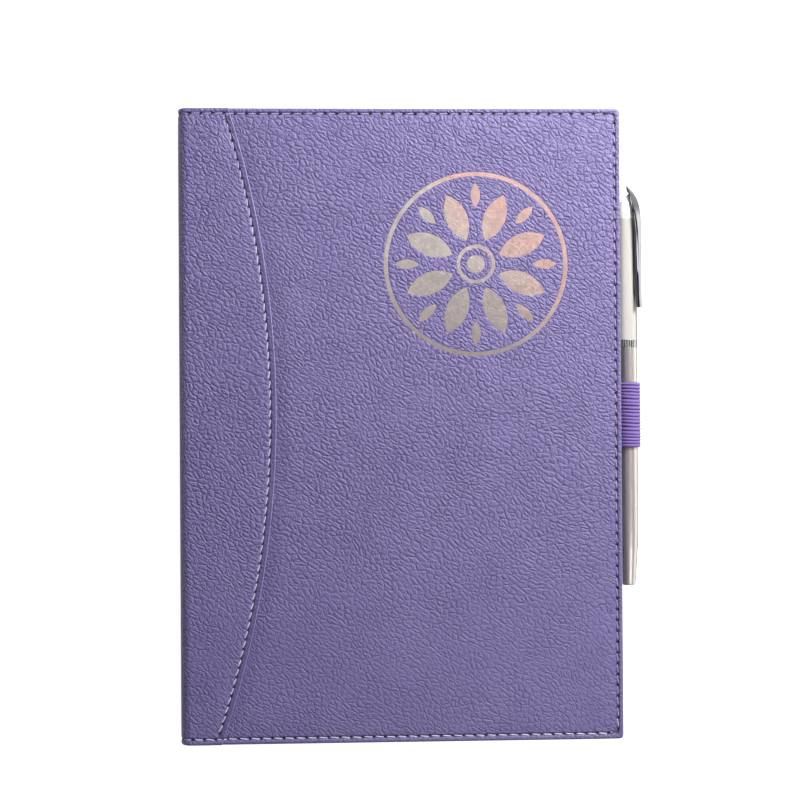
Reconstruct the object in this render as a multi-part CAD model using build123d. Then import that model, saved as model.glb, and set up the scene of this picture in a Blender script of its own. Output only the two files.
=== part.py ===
from build123d import *
import math
import os

# Address book with a padded stitched case, a step-cut index and a twist pen
# in an elastic loop.  Millimetres.  The closed book lies on its back cover,
# +Z up, +Y towards the head, spine at -X, pen at the +X fore-edge.
# All X values below are book coordinates, measured from the spine edge of
# the text block; SHIFT moves them so that the origin is the middle of the
# underside of the whole object.

# ---------------------------------------------------------------- dimensions
COVER_W = 147.4          # fore-edge of both covers
COVER_H = 216.0          # head to tail
TOTAL_T = 17.0           # closed thickness
FOLD_R = 3.6             # outside radius where the cover folds into the spine
SKIN_T = 0.6             # imitation leather
TURN_T = 0.4             # leather turned in over the boards
TURN_W = 12.0            # width of the turn-in
BOARD_T = 1.5            # greyboard
BOARD_X0 = 0.4           # spine-side edge of both boards
PASTE_T = 0.2            # endpaper
CORNER_R = 1.5           # fore-edge corners in plan
EDGE_R = 1.0             # rounding of the outer edges
BACK_FOAM_T = 0.7
FRONT_FOAM_T = 0.5

ARC_R = 345.0            # curved lap seam on the front
ARC_APEX_X = 29.4
ARC_Y = 5.0
LAP_W = 6.0              # overlap under the seam
ARC_STITCH = 2.0         # seam stitch behind the cut edge

STITCH_IN = 2.0          # edge stitch to the cover's edge
THREAD_W = 0.5
THREAD_D = 0.3

SPINE_BOARD_T = 0.7
SPINE_INNER_X = -2.0

LEAF_W = 144.2           # fore-edge of the leaves
LEAF_H = 210.0
BLOCK_Z0 = 3.45
BLOCK_Z1 = 12.9
MID_Z = TOTAL_T / 2
LOOSE_T = 0.15           # one leaf each side of the middle opening
FLY_T = 0.2
BIRTHDAY_T = 0.9
TAB_N = 12               # index steps
TAB_DEPTH = 8.0
LINING_T = 0.35

FOIL_X = 97.6
FOIL_Y = 54.7
FOIL_T = 0.06
FOIL_DEBOSS = 0.1

PEN_X = 151.1
PEN_Z = 8.3
PEN_R = 3.4
PEN_BORE = 2.6
PEN_BARREL_TOP = 71.0
RING_Y0, RING_Y1 = 26.3, 29.0
NOSE_Y = -37.8
PEN_END = -56.3
CLIP_TURN = 42.0         # the clip points this far up from the fore-edge
CLIP_FOOT_W = 2.0
CLIP_PIVOT_Y = 79.6
# outer face of the clip, as distance from the pen's axis and y
CLIP_OUTER = [
    (0.0, 82.8), (0.86, 81.8), (1.91, 80.5), (2.77, 79.0), (3.44, 77.2), (4.0, 75.1),
    (4.6, 71.7), (5.02, 66.1), (5.12, 58.1), (5.14, 50.1), (5.26, 44.1), (5.5, 40.1),
]
# inner face, from the tip back to the foot, with the bead that bears on the barrel
CLIP_INNER = [
    (4.75, 39.9), (4.2, 43.7), (3.52, 47.8), (4.05, 52.1), (4.2, 58.1), (4.12, 66.1),
    (3.76, 71.5), (3.2, 74.7), (2.66, 76.6), (2.05, 78.2), (1.25, 79.6), (0.35, 80.6),
]
# half width of the clip along y
CLIP_HALF = [
    (0.2, 83.0), (0.8, 81.7), (1.5, 80.5), (2.0, 78.9), (2.35, 77.1), (2.45, 75.1),
    (2.3, 71.7), (2.05, 66.1), (1.72, 56.1), (1.42, 47.8), (1.45, 43.1), (1.5, 39.7),
]

LOOP_Y0, LOOP_Y1 = -8.4, 14.15
LOOP_IN = PEN_R + 0.08
LOOP_T = 0.97
TAB_Z0, TAB_Z1 = 1.6, 2.75

# ---------------------------------------------------------------- helpers
HY = COVER_H / 2


def on_pen(shape):
    """Places a piece drawn with X away from the pen's axis in the clip's direction."""
    return Pos(PEN_X, 0, PEN_Z) * Rot(0, -CLIP_TURN, 0) * shape


def make_clip():
    """Bow that rises from the cap's tip, tapering arm, bead and flared end."""
    side = Face(
        Wire(
            [
                Spline(CLIP_OUTER),
                Line(CLIP_OUTER[-1], CLIP_INNER[0]),
                Spline(CLIP_INNER),
                Line(CLIP_INNER[-1], (-0.35, 80.6)),
                Line((-0.35, 80.6), CLIP_OUTER[0]),
            ]
        )
    )
    body = Pos(0, 0, -5) * extrude(side, 10, dir=(0, 0, 1))
    right = [(h, y) for h, y in CLIP_HALF]
    left = [(-h, y) for h, y in reversed(CLIP_HALF)]
    plan = Face(
        Wire(
            [
                Spline(right),
                Line(right[-1], left[0]),
                Spline(left),
                Line(left[-1], right[0]),
            ]
        )
    )
    # the plan is drawn across the clip and swept along its outward direction
    body &= Rot(0, -90, 0) * Pos(0, 0, -8) * extrude(plan, 10, dir=(0, 0, 1))
    foot = Pos(0, 78.75, 0) * Box(0.7, 4.1, CLIP_FOOT_W)
    return on_pen(body + foot)


clip = make_clip()
SHIFT = -round((clip.bounding_box().max.X - FOLD_R) / 2, 2)


def block(x0, x1, y0, y1, z0, z1):
    return Pos((x0 + x1) / 2, (y0 + y1) / 2, (z0 + z1) / 2) * Box(
        x1 - x0, y1 - y0, z1 - z0
    )


def arc_x(y, off=0.0):
    """X of the seam curve, or of a curve `off` behind it."""
    r = ARC_R - off
    return ARC_APEX_X - ARC_R + math.sqrt(r * r - (y - ARC_Y) ** 2)


def arc_region(x0, off, half, z0, z1):
    """Prism from x0 to the seam curve."""
    a = (arc_x(-half, off), -half)
    m = (arc_x(0.0, off), 0.0)
    b = (arc_x(half, off), half)
    wire = Wire(
        [
            Line((x0, -half), a),
            ThreePointArc(a, m, b),
            Line(b, (x0, half)),
            Line((x0, half), (x0, -half)),
        ]
    )
    return Pos(0, 0, z0) * extrude(Face(wire), z1 - z0, dir=(0, 0, 1))


def slab(x0, x1, half, z0, z1, corner=0.0, edge=0.0, edge_top=True):
    """Board-like solid with rounded fore-edge corners and one soft rim."""
    s = block(x0, x1, -half, half, z0, z1)
    if corner:
        s = fillet(
            s.edges().filter_by(Axis.Z).filter_by(lambda e: e.center().X > x1 - 0.01),
            corner,
        )
    if edge:
        rim_z = z1 if edge_top else z0
        rim = [
            e
            for e in s.edges()
            if abs(e.center().Z - rim_z) < 1e-4
            and abs(e.bounding_box().max.Z - e.bounding_box().min.Z) < 1e-4
            and e.center().X > x0 + 0.01
        ]
        s = fillet(rim, edge)
    return s


def revolve_pen(points):
    """Solid of revolution about the pen's axis from (radius, y) points."""
    wire = Wire([Line(a, b) for a, b in zip(points, points[1:] + points[:1])])
    return Pos(PEN_X, 0, PEN_Z) * revolve(Face(wire), Axis.Y, 360)


def save(name, shape):
    solids = [Pos(SHIFT, 0, 0) * s for s in shape.solids()]
    out = solids[0] if len(solids) == 1 else Compound(children=solids)
    out.label = name
    export_step(out, os.path.join("parts", name + ".step"))


os.makedirs("parts", exist_ok=True)

# ---------------------------------------------------------------- back cover
B_SKIN = SKIN_T
B_FOAM = B_SKIN + BACK_FOAM_T
B_BOARD = B_FOAM + BOARD_T
B_TURN = B_BOARD + TURN_T
B_PASTE = B_TURN + PASTE_T
IN_X = COVER_W - SKIN_T
IN_H = HY - SKIN_T
WIN_X = COVER_W - TURN_W
WIN_H = HY - TURN_W
TX = COVER_W - STITCH_IN
TY = HY - STITCH_IN


def edge_runs(x0, z0, z1, grow=0.0):
    """The three stitch runs of one cover, as one band."""
    w = THREAD_W / 2 + grow
    return (
        block(x0, TX + w, TY - w, TY + w, z0, z1)
        + block(x0, TX + w, -TY - w, -TY + w, z0, z1)
        + block(TX - w, TX + w, -TY - w, TY + w, z0, z1)
    )


loop_slot = block(139.3, COVER_W + 1, LOOP_Y0 - 0.3, LOOP_Y1 + 0.3, 1.5, B_BOARD)

back_skin = slab(0, COVER_W, HY, 0, B_TURN, CORNER_R, EDGE_R, edge_top=False)
back_skin -= slab(-1, IN_X, IN_H, B_SKIN, B_BOARD, CORNER_R - SKIN_T)
back_skin -= block(-1, WIN_X, -WIN_H, WIN_H, B_BOARD - 0.1, B_TURN + 1)
back_skin -= edge_runs(-1, -1, THREAD_D + 0.1)
back_skin -= loop_slot
save("back_skin", back_skin)

save("back_edge_thread", edge_runs(0, 0.1, THREAD_D + 0.1))
save("back_foam", slab(BOARD_X0, IN_X, IN_H, B_SKIN, B_FOAM, CORNER_R - SKIN_T))
save(
    "back_board",
    slab(BOARD_X0, IN_X, IN_H, B_FOAM, B_BOARD, CORNER_R - SKIN_T) - loop_slot,
)
save(
    "back_pastedown",
    block(BOARD_X0, LEAF_W + 0.2, -LEAF_H / 2, LEAF_H / 2, B_TURN, B_PASTE)
    + block(BOARD_X0, WIN_X, -WIN_H, WIN_H, B_BOARD, B_TURN),
)

# ---------------------------------------------------------------- front cover
F_WRAP1 = TOTAL_T
F_WRAP0 = F_WRAP1 - SKIN_T
F_PANEL0 = F_WRAP0 - SKIN_T
F_FOAM0 = F_PANEL0 - FRONT_FOAM_T
F_BOARD0 = F_FOAM0 - BOARD_T
F_TURN0 = F_BOARD0 - TURN_T
F_PASTE0 = F_TURN0 - PASTE_T

front_window = block(-1, WIN_X, -WIN_H, WIN_H, F_TURN0 - 1, F_BOARD0 + 0.05)


def petal(r0, r1, width, z0, z1):
    m = (r0 + r1) / 2
    wire = Wire(
        [
            ThreePointArc((r0, 0), (m, width / 2), (r1, 0)),
            ThreePointArc((r1, 0), (m, -width / 2), (r0, 0)),
        ]
    )
    return Pos(0, 0, z0) * extrude(Face(wire), z1 - z0, dir=(0, 0, 1))


def ring(r0, r1, z0, z1):
    s = Pos(0, 0, (z0 + z1) / 2) * Cylinder(r1, z1 - z0)
    if r0:
        s -= Pos(0, 0, (z0 + z1) / 2) * Cylinder(r0, z1 - z0 + 1)
    return s


def rosette(z0, z1):
    """Eight-petal rosette in a plain ring, as separate stamped shapes."""
    out = [ring(0, 3.0, z0, z1), ring(5.4, 6.6, z0, z1), ring(30.0, 31.4, z0, z1)]
    for k in range(8):
        out.append(Rot(0, 0, 45 * k + 22.5) * petal(8.6, 25.4, 7.4, z0, z1))
        out.append(Rot(0, 0, 45 * k) * petal(19.4, 27.6, 3.2, z0, z1))
    return [Pos(FOIL_X, FOIL_Y, 0) * s for s in out]


panel = slab(0, COVER_W, HY, F_TURN0, F_WRAP0, CORNER_R, EDGE_R)
panel -= slab(-1, IN_X, IN_H, F_BOARD0, F_PANEL0, CORNER_R - SKIN_T)
panel -= front_window
panel -= arc_region(-5, LAP_W, HY + 5, F_TURN0 - 1, F_WRAP0 + 1)
panel_runs = edge_runs(0, F_WRAP0 - THREAD_D, F_WRAP0) - arc_region(
    -5, -0.3, HY + 5, F_TURN0, TOTAL_T
)
panel -= panel_runs
for s in rosette(F_WRAP0 - FOIL_DEBOSS, F_WRAP0 + 0.2):
    panel -= s
save("front_panel_skin", panel)

foil = rosette(F_WRAP0 - FOIL_DEBOSS, F_WRAP0 - FOIL_DEBOSS + FOIL_T)
save("foil_ornament", Compound(children=[s.solids()[0] for s in foil]))

wrap_hi = slab(0, COVER_W, HY, F_TURN0, F_WRAP1, CORNER_R, EDGE_R)
wrap_top = wrap_hi & arc_region(0, 0, HY + 5, F_WRAP0, F_WRAP1 + 1)
wrap_low = wrap_hi & arc_region(0, LAP_W, HY + 5, F_TURN0, F_WRAP0)
wrap_low -= block(-1, IN_X, -IN_H, IN_H, F_BOARD0, F_WRAP0)
wrap_low -= front_window
wrap = wrap_top + wrap_low
wrap_runs = edge_runs(0, F_WRAP1 - THREAD_D, F_WRAP1) & arc_region(
    0, 0.3, HY + 5, F_WRAP0, F_WRAP1 + 1
)
seam_band = arc_region(
    -5, ARC_STITCH - THREAD_W / 2, HY - 2.6, F_WRAP1 - THREAD_D, F_WRAP1
) - arc_region(-6, ARC_STITCH + THREAD_W / 2, HY, F_WRAP0, F_WRAP1 + 1)
wrap -= wrap_runs
wrap -= seam_band
save("front_wrap_skin", wrap)
save("arc_seam_thread", seam_band)
save(
    "front_edge_thread",
    Compound(children=list(panel_runs.solids()) + list(wrap_runs.solids())),
)

front_foam = slab(BOARD_X0, IN_X, IN_H, F_FOAM0, F_PANEL0, CORNER_R - SKIN_T)
front_foam += arc_region(BOARD_X0, LAP_W, IN_H, F_PANEL0, F_WRAP0)
save("front_foam", front_foam)
save(
    "front_board",
    slab(BOARD_X0, IN_X, IN_H, F_BOARD0, F_FOAM0, CORNER_R - SKIN_T),
)
save(
    "front_pastedown",
    block(BOARD_X0, LEAF_W + 0.2, -LEAF_H / 2, LEAF_H / 2, F_PASTE0, F_TURN0)
    + block(BOARD_X0, WIN_X, -WIN_H, WIN_H, F_TURN0, F_BOARD0),
)

# ---------------------------------------------------------------- spine
S_OUT = -FOLD_R
S_IN = S_OUT + SKIN_T
Z_LO = FOLD_R
Z_HI = TOTAL_T - FOLD_R
S_CARD = S_IN + SPINE_BOARD_T

spine_runs = block(S_OUT, S_OUT + THREAD_D, TY - 0.25, TY + 0.25, Z_LO, Z_HI) + block(
    S_OUT, S_OUT + THREAD_D, -TY - 0.25, -TY + 0.25, Z_LO, Z_HI
)
spine_skin = block(S_OUT, SPINE_INNER_X, -HY, HY, Z_LO, Z_HI)
spine_skin -= block(S_IN, S_CARD, -IN_H, IN_H, Z_LO - 1, Z_HI + 1)
spine_skin -= block(S_CARD - 0.05, 0, -WIN_H, WIN_H, Z_LO - 1, Z_HI + 1)
spine_skin -= spine_runs
save("spine_skin", spine_skin)
save("spine_edge_thread", spine_runs)
save("spine_board", block(S_IN, S_CARD, -IN_H, IN_H, Z_LO + 0.1, Z_HI - 0.1))
save(
    "spine_lining",
    block(S_CARD, S_CARD + PASTE_T, -WIN_H, WIN_H, Z_LO + 0.1, Z_HI - 0.1),
)


def fold(zc, top):
    """Quarter tube of skin where a cover folds into the spine."""
    tube = Pos(0, 0, zc) * Rot(90, 0, 0) * (
        Cylinder(FOLD_R, COVER_H) - Cylinder(FOLD_R - SKIN_T, COVER_H + 2)
    )
    keep = block(-10, 0, -HY, HY, zc, zc + 10) if top else block(
        -10, 0, -HY, HY, zc - 10, zc
    )
    return tube & keep


save("back_hinge_skin", fold(Z_LO, False))
save("front_hinge_skin", fold(Z_HI, True))

# ---------------------------------------------------------------- text block
LH = LEAF_H / 2
STEP_H = LEAF_H / TAB_N


def leaf_stack(step, z0, z1, x0=0.0):
    """Leaves with the fore-edge cut back below their own index tab."""
    s = block(x0, LEAF_W, -LH, LH, z0, z1)
    if step is not None and step < TAB_N - 1:
        low = LH - STEP_H * (step + 1)
        cut = block(LEAF_W - TAB_DEPTH, LEAF_W + 5, -LH - 5, low, z0 - 1, z1 + 1)
        cut = fillet(
            cut.edges()
            .filter_by(Axis.Z)
            .filter_by(lambda e: e.center().X < LEAF_W and e.center().Y > -LH),
            2.0,
        )
        s -= cut
    return s


REAR_TOP = MID_Z - LOOSE_T
FRONT_BOT = MID_Z + LOOSE_T
REAR_NAMES = ["pages_mn", "pages_op", "pages_qr", "pages_st", "pages_uv", "pages_wz"]
FRONT_NAMES = ["pages_ab", "pages_cd", "pages_ef", "pages_gh", "pages_ij", "pages_kl"]

z = BLOCK_Z0
save("back_flyleaf", leaf_stack(None, z, z + FLY_T))
z += FLY_T
save("birthday_pages", leaf_stack(None, z, z + BIRTHDAY_T))
z += BIRTHDAY_T
REAR_T = (REAR_TOP - z) / len(REAR_NAMES)
for i, name in enumerate(reversed(REAR_NAMES)):
    save(name, leaf_stack(TAB_N - 1 - i, z, z + REAR_T))
    z += REAR_T
save("mn_loose_leaf", leaf_stack(6, REAR_TOP, MID_Z))
save("kl_loose_leaf", leaf_stack(5, MID_Z, FRONT_BOT))
z = FRONT_BOT
FRONT_T = (BLOCK_Z1 - FLY_T - z) / len(FRONT_NAMES)
for i, name in enumerate(reversed(FRONT_NAMES)):
    save(name, leaf_stack(5 - i, z, z + FRONT_T))
    z += FRONT_T
save("front_flyleaf", leaf_stack(None, z, BLOCK_Z1))
save("rear_block_lining", block(-LINING_T, 0, -100, 100, BLOCK_Z0, REAR_TOP))
save("front_block_lining", block(-LINING_T, 0, -100, 100, FRONT_BOT, BLOCK_Z1))

# ---------------------------------------------------------------- pen loop
LOOP_OUT = LOOP_IN + LOOP_T


def tangent(px, pz, sign):
    """Tangent point on the loop's outer circle from (px, pz)."""
    dx, dz = px - PEN_X, pz - PEN_Z
    d = math.hypot(dx, dz)
    a = math.atan2(dz, dx) + sign * math.acos(LOOP_OUT / d)
    return (PEN_X + LOOP_OUT * math.cos(a), PEN_Z + LOOP_OUT * math.sin(a))


root_x = COVER_W + 0.4
tail = [
    (140.0, TAB_Z0),
    (root_x, TAB_Z0),
    tangent(root_x, TAB_Z0, 1),
    (PEN_X, PEN_Z),
    tangent(root_x, TAB_Z1, -1),
    (root_x, TAB_Z1),
    (140.0, TAB_Z1),
]
tail_face = Face(Wire([Line(a, b) for a, b in zip(tail, tail[1:] + tail[:1])]))
width = LOOP_Y1 - LOOP_Y0
loop = extrude(tail_face, width, dir=(0, 0, 1))
loop += Pos(PEN_X, PEN_Z, width / 2) * Cylinder(LOOP_OUT, width)
loop -= Pos(PEN_X, PEN_Z, width / 2) * Cylinder(LOOP_IN, width + 2)
save("pen_loop", Pos(0, LOOP_Y1, 0) * Rot(90, 0, 0) * loop)

# ---------------------------------------------------------------- pen
save(
    "pen_lower_barrel",
    revolve_pen(
        [
            (PEN_BORE, RING_Y0),
            (PEN_R, RING_Y0),
            (PEN_R, NOSE_Y),
            (PEN_R - 0.18, NOSE_Y - 5.0),
            (2.35, PEN_END + 0.7),
            (2.05, PEN_END),
            (1.35, PEN_END),
            (1.35, -49.0),
            (PEN_BORE, -40.0),
        ]
    ),
)
FLUTES = 28              # straight grooves round the centre ring
RING_R = PEN_R + 0.05
ring = revolve_pen(
    [
        (PEN_BORE, RING_Y0),
        (PEN_R, RING_Y0),
        (RING_R, RING_Y0 + 0.25),
        (RING_R, RING_Y1 - 0.25),
        (PEN_R, RING_Y1),
        (PEN_BORE, RING_Y1),
    ]
)
for k in range(FLUTES):
    ring -= (
        Pos(PEN_X, (RING_Y0 + RING_Y1) / 2, PEN_Z)
        * Rot(0, 360.0 * k / FLUTES, 0)
        * Pos(RING_R, 0, 0)
        * Box(0.4, RING_Y1 - RING_Y0 - 0.8, 0.36)
    )
save("pen_centre_ring", ring)
save(
    "pen_upper_barrel",
    revolve_pen(
        [
            (PEN_BORE, RING_Y1),
            (PEN_R, RING_Y1),
            (PEN_R, PEN_BARREL_TOP),
            (PEN_BORE, PEN_BARREL_TOP),
        ]
    ),
)

cap = revolve_pen(
    [
        (0, PEN_BARREL_TOP - 5.4),
        (PEN_BORE - 0.05, PEN_BARREL_TOP - 5.4),
        (PEN_BORE - 0.05, PEN_BARREL_TOP),
        (PEN_R, PEN_BARREL_TOP),
        (3.36, 72.2),
        (3.2, 73.5),
        (2.9, 74.9),
        (2.46, 76.3),
        (1.88, 77.6),
        (1.2, 78.7),
        (0.6, 79.3),
        (0, 79.5),
    ]
)
cap -= on_pen(Pos(0, 78.75, 0) * Box(1.5, 5.1, CLIP_FOOT_W + 0.5))
save("pen_cap", cap)
save("pen_clip", clip)

save(
    "pen_twist_sleeve",
    revolve_pen([(1.9, 16.0), (2.52, 16.0), (2.52, 58.0), (1.9, 58.0)]),
)
save(
    "pen_refill_carrier",
    revolve_pen([(0, 46.0), (1.8, 46.0), (1.8, 30.0), (1.3, 30.0), (1.3, 38.0), (0, 38.0)]),
)
save(
    "pen_refill_tube",
    revolve_pen([(0.95, 38.0), (1.27, 38.0), (1.27, -46.0), (0.95, -46.0)]),
)
save(
    "pen_refill_tip",
    revolve_pen(
        [
            (0, -43.0),
            (0.92, -43.0),
            (0.92, -46.0),
            (1.12, -46.0),
            (1.12, -49.6),
            (0.5, -53.6),
            (0.42, -54.8),
            (0.25, -55.1),
            (0, -55.2),
        ]
    ),
)
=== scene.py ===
import bpy
import math
import numpy as np
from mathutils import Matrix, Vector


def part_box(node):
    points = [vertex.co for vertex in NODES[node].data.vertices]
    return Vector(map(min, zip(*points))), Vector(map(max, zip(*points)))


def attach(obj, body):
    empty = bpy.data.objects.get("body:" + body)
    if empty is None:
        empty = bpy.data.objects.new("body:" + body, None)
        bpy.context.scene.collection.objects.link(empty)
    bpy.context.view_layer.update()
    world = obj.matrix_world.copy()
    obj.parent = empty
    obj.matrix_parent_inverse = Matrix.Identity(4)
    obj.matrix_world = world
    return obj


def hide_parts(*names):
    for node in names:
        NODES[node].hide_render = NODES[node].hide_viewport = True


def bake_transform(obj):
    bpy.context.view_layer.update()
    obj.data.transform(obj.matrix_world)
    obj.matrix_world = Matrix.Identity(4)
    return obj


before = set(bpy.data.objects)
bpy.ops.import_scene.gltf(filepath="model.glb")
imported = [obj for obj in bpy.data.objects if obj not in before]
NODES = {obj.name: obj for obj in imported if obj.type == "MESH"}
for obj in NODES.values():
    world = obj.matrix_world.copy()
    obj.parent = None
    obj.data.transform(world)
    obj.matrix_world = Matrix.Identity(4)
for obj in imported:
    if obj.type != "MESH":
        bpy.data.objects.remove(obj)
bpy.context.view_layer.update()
rng = np.random.default_rng(11)

# Book coordinates in millimetres, x from the spine edge of the leaves.
SX = -76.30
XR = 147.4
HY = 108.0
CORNER = 1.5
ARC_R, ARC_X, ARC_Y = 345.0, 29.4, 5.0
FOLD_R = 3.6
Z_LO, Z_HI = 3.6, 13.4
PEN_X, PEN_Z = 151.1, 8.3
PITCH = 3.7
PITCH_X = 3.82
STITCH_D = 2.05


# ------------------------------------------------------------------ meshes
def build(name, verts, faces, mats, smooth=True, attrs=None, mat_index=None):
    v = np.array(verts, float).reshape(-1, 3)
    row = v.copy()
    row[:, 0] += SX
    me = bpy.data.meshes.new(name)
    me.vertices.add(len(v))
    me.vertices.foreach_set("co", (row / 1000).astype(np.float32).ravel())
    faces = [np.asarray(f, int) for f in faces if len(f)]
    idx = np.concatenate([f.ravel() for f in faces])
    tot = np.concatenate([np.full(len(f), f.shape[1]) for f in faces])
    start = np.concatenate([[0], np.cumsum(tot)[:-1]])
    me.loops.add(len(idx))
    me.loops.foreach_set("vertex_index", idx.astype(np.int32))
    me.polygons.add(len(tot))
    me.polygons.foreach_set("loop_start", start.astype(np.int32))
    if mat_index is not None:
        me.polygons.foreach_set("material_index", np.asarray(mat_index, np.int32))
    me.polygons.foreach_set("use_smooth", np.full(len(tot), bool(smooth)))
    me.update(calc_edges=True)
    a = me.attributes.new("rest", "FLOAT_VECTOR", "POINT")
    a.data.foreach_set("vector", v.astype(np.float32).ravel())
    for key, val in (attrs or {}).items():
        a = me.attributes.new(key, "FLOAT", "POINT")
        a.data.foreach_set("value", np.asarray(val, np.float32).ravel())
    for m in mats if isinstance(mats, (list, tuple)) else [mats]:
        me.materials.append(m)
    ob = bpy.data.objects.new(name, me)
    bpy.context.scene.collection.objects.link(ob)
    return ob


def grid(nr, nc, flip=False, base=0, wrap=False):
    i = np.arange(nr - 1)[:, None]
    j = np.arange(nc if wrap else nc - 1)[None, :]
    k = (j + 1) % nc
    q = np.stack([i * nc + j, i * nc + k, (i + 1) * nc + k, (i + 1) * nc + j], -1)
    q = q.reshape(-1, 4) + base
    return q[:, ::-1] if flip else q


class Mesh:
    """Collects vertices, faces and point attributes of one piece."""

    def __init__(self, *attrs):
        self.v, self.f, self.n = [], [], 0
        self.a = {k: [] for k in attrs}
        self.m = []

    def add(self, v, faces, mat=0, **attrs):
        v = np.asarray(v, float).reshape(-1, 3)
        base = self.n
        self.v.append(v)
        self.n += len(v)
        for k in self.a:
            val = attrs.get(k, 1.0)
            self.a[k].append(np.broadcast_to(np.asarray(val, float).ravel(), (len(v),)))
        for f in faces:
            f = np.asarray(f, int) + base
            self.f.append(f)
            self.m.append(np.full(len(f), mat))
        return base

    def make(self, name, mats, smooth=True):
        attrs = {k: np.concatenate(x) for k, x in self.a.items()}
        return build(
            name, np.concatenate(self.v), self.f, mats, smooth, attrs, np.concatenate(self.m)
        )


def tube(path, radius, seg=8, up=(0, 0, 1)):
    """Round sweep along a short path, closed at both ends."""
    p = np.asarray(path, float)
    n = len(p)
    r = np.broadcast_to(np.asarray(radius, float), (n,))
    t = np.gradient(p, axis=0)
    t /= np.linalg.norm(t, axis=1)[:, None]
    u = np.asarray(up, float)
    side = np.cross(t, u)
    side /= np.linalg.norm(side, axis=1)[:, None]
    top = np.cross(side, t)
    a = np.linspace(0, 2 * np.pi, seg, endpoint=False)
    ring = (
        p[:, None]
        + r[:, None, None] * np.cos(a)[None, :, None] * side[:, None]
        + r[:, None, None] * np.sin(a)[None, :, None] * top[:, None]
    )
    v = np.concatenate([ring.reshape(-1, 3), p[:1], p[-1:]])
    k = np.arange(seg)
    m = (k + 1) % seg
    first = np.stack([k, m, np.full(seg, n * seg)], -1)
    last = np.stack([(n - 1) * seg + m, (n - 1) * seg + k, np.full(seg, n * seg + 1)], -1)
    return v, [grid(n, seg, flip=True, wrap=True), first, last]


def smooth01(x, a, b):
    t = np.clip((np.asarray(x, float) - a) / (b - a), 0, 1)
    return t * t * (3 - 2 * t)


def swell(x, y, seed, size, amp):
    """Slow seeded waviness of the padded surfaces."""
    r = np.random.default_rng(seed)
    out = np.zeros(np.broadcast(x, y).shape)
    for _ in range(7):
        a, ph = r.uniform(0, 2 * np.pi, 2)
        k = 2 * np.pi / (size * r.uniform(0.6, 1.6))
        out += np.sin(k * (np.cos(a) * x + np.sin(a) * y) + ph)
    return amp * out / 3.0


# --------------------------------------------------------------- materials
class Mat:
    def __init__(self, name):
        self.m = bpy.data.materials.new(name)
        self.m.use_nodes = True
        self.t = self.m.node_tree
        self.b = self.t.nodes["Principled BSDF"]

    def n(self, kind, **kw):
        node = self.t.nodes.new(kind)
        for k, val in kw.items():
            setattr(node, k, val)
        return node

    def link(self, a, b):
        self.t.links.new(a, b)

    def put(self, socket, val):
        if hasattr(val, "is_linked"):
            self.link(val, socket)
        else:
            socket.default_value = val

    def math(self, op, a, b=0.0, c=0.0, clamp=False):
        k = self.n("ShaderNodeMath", operation=op, use_clamp=clamp)
        self.put(k.inputs[0], a)
        self.put(k.inputs[1], b)
        self.put(k.inputs[2], c)
        return k.outputs[0]

    def vmath(self, op, a, b=(0, 0, 0), scale=None):
        k = self.n("ShaderNodeVectorMath", operation=op)
        self.put(k.inputs[0], a)
        if scale is None:
            self.put(k.inputs[1], b)
        else:
            self.put(k.inputs["Scale"], scale)
        return k.outputs[0]

    def span(self, val, a, b, lo=0.0, hi=1.0, smooth=True):
        k = self.n("ShaderNodeMapRange", interpolation_type="SMOOTHSTEP" if smooth else "LINEAR")
        self.put(k.inputs["Value"], val)
        for key, x in (("From Min", a), ("From Max", b), ("To Min", lo), ("To Max", hi)):
            self.put(k.inputs[key], x)
        return k.outputs["Result"]

    def mix(self, fac, a, b, blend="MIX"):
        k = self.n("ShaderNodeMix", data_type="RGBA", blend_type=blend)
        self.put(k.inputs[0], fac)
        self.put(k.inputs[6], a)
        self.put(k.inputs[7], b)
        return k.outputs[2]

    def noise(self, vec, scale, detail=2.0, rough=0.5, color=False):
        k = self.n("ShaderNodeTexNoise")
        self.link(vec, k.inputs["Vector"])
        k.inputs["Scale"].default_value = scale
        k.inputs["Detail"].default_value = detail
        k.inputs["Roughness"].default_value = rough
        return k.outputs["Color" if color else "Fac"]

    def voronoi(self, vec, scale, feature="F1", out="Distance", rand=1.0, flat=False):
        k = self.n("ShaderNodeTexVoronoi", feature=feature, voronoi_dimensions="2D" if flat else "3D")
        self.link(vec, k.inputs["Vector"])
        k.inputs["Scale"].default_value = scale
        k.inputs["Randomness"].default_value = rand
        return k.outputs[out]

    def attr(self, name, out="Fac"):
        return self.n("ShaderNodeAttribute", attribute_name=name).outputs[out]

    def rest(self):
        return self.attr("rest", "Vector")

    def obj_mm(self):
        """Object coordinates in millimetres, for pieces that come from the CAD."""
        c = self.n("ShaderNodeTexCoord").outputs["Object"]
        return self.vmath("SCALE", c, scale=1000.0)

    def xyz(self, vec):
        k = self.n("ShaderNodeSeparateXYZ")
        self.link(vec, k.inputs[0])
        return k.outputs

    def bump(self, height, dist, strength=1.0, normal=None):
        k = self.n("ShaderNodeBump")
        self.put(k.inputs["Height"], height)
        self.put(k.inputs["Strength"], strength)
        k.inputs["Distance"].default_value = dist
        if normal is not None:
            self.link(normal, k.inputs["Normal"])
        return k.outputs["Normal"]

    def set(self, **kw):
        for k, val in kw.items():
            self.put(self.b.inputs[k.replace("_", " ")], val)
        return self.m


def rgb(r, g, b):
    """sRGB 0-255 to linear."""
    c = np.array([r, g, b]) / 255.0
    c = np.where(c <= 0.04045, c / 12.92, ((c + 0.055) / 1.055) ** 2.4)
    return (*[float(x) for x in c], 1.0)


GRAIN = {
    "turn": -36.0, "flow": 9.0, "kink": 1.0, "kink_f": 1.6, "cell": (2.7, 1.5, 1.0), "rand": 1.0,
    "streak": (8.0, 1.2, 1.0), "run": 0.25, "width": 0.14, "dome": 0.34,
    "depth": 0.00023, "crease": 0.5, "rise": 0.7, "fine": 1.6, "dark": 0.42,
}


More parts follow.
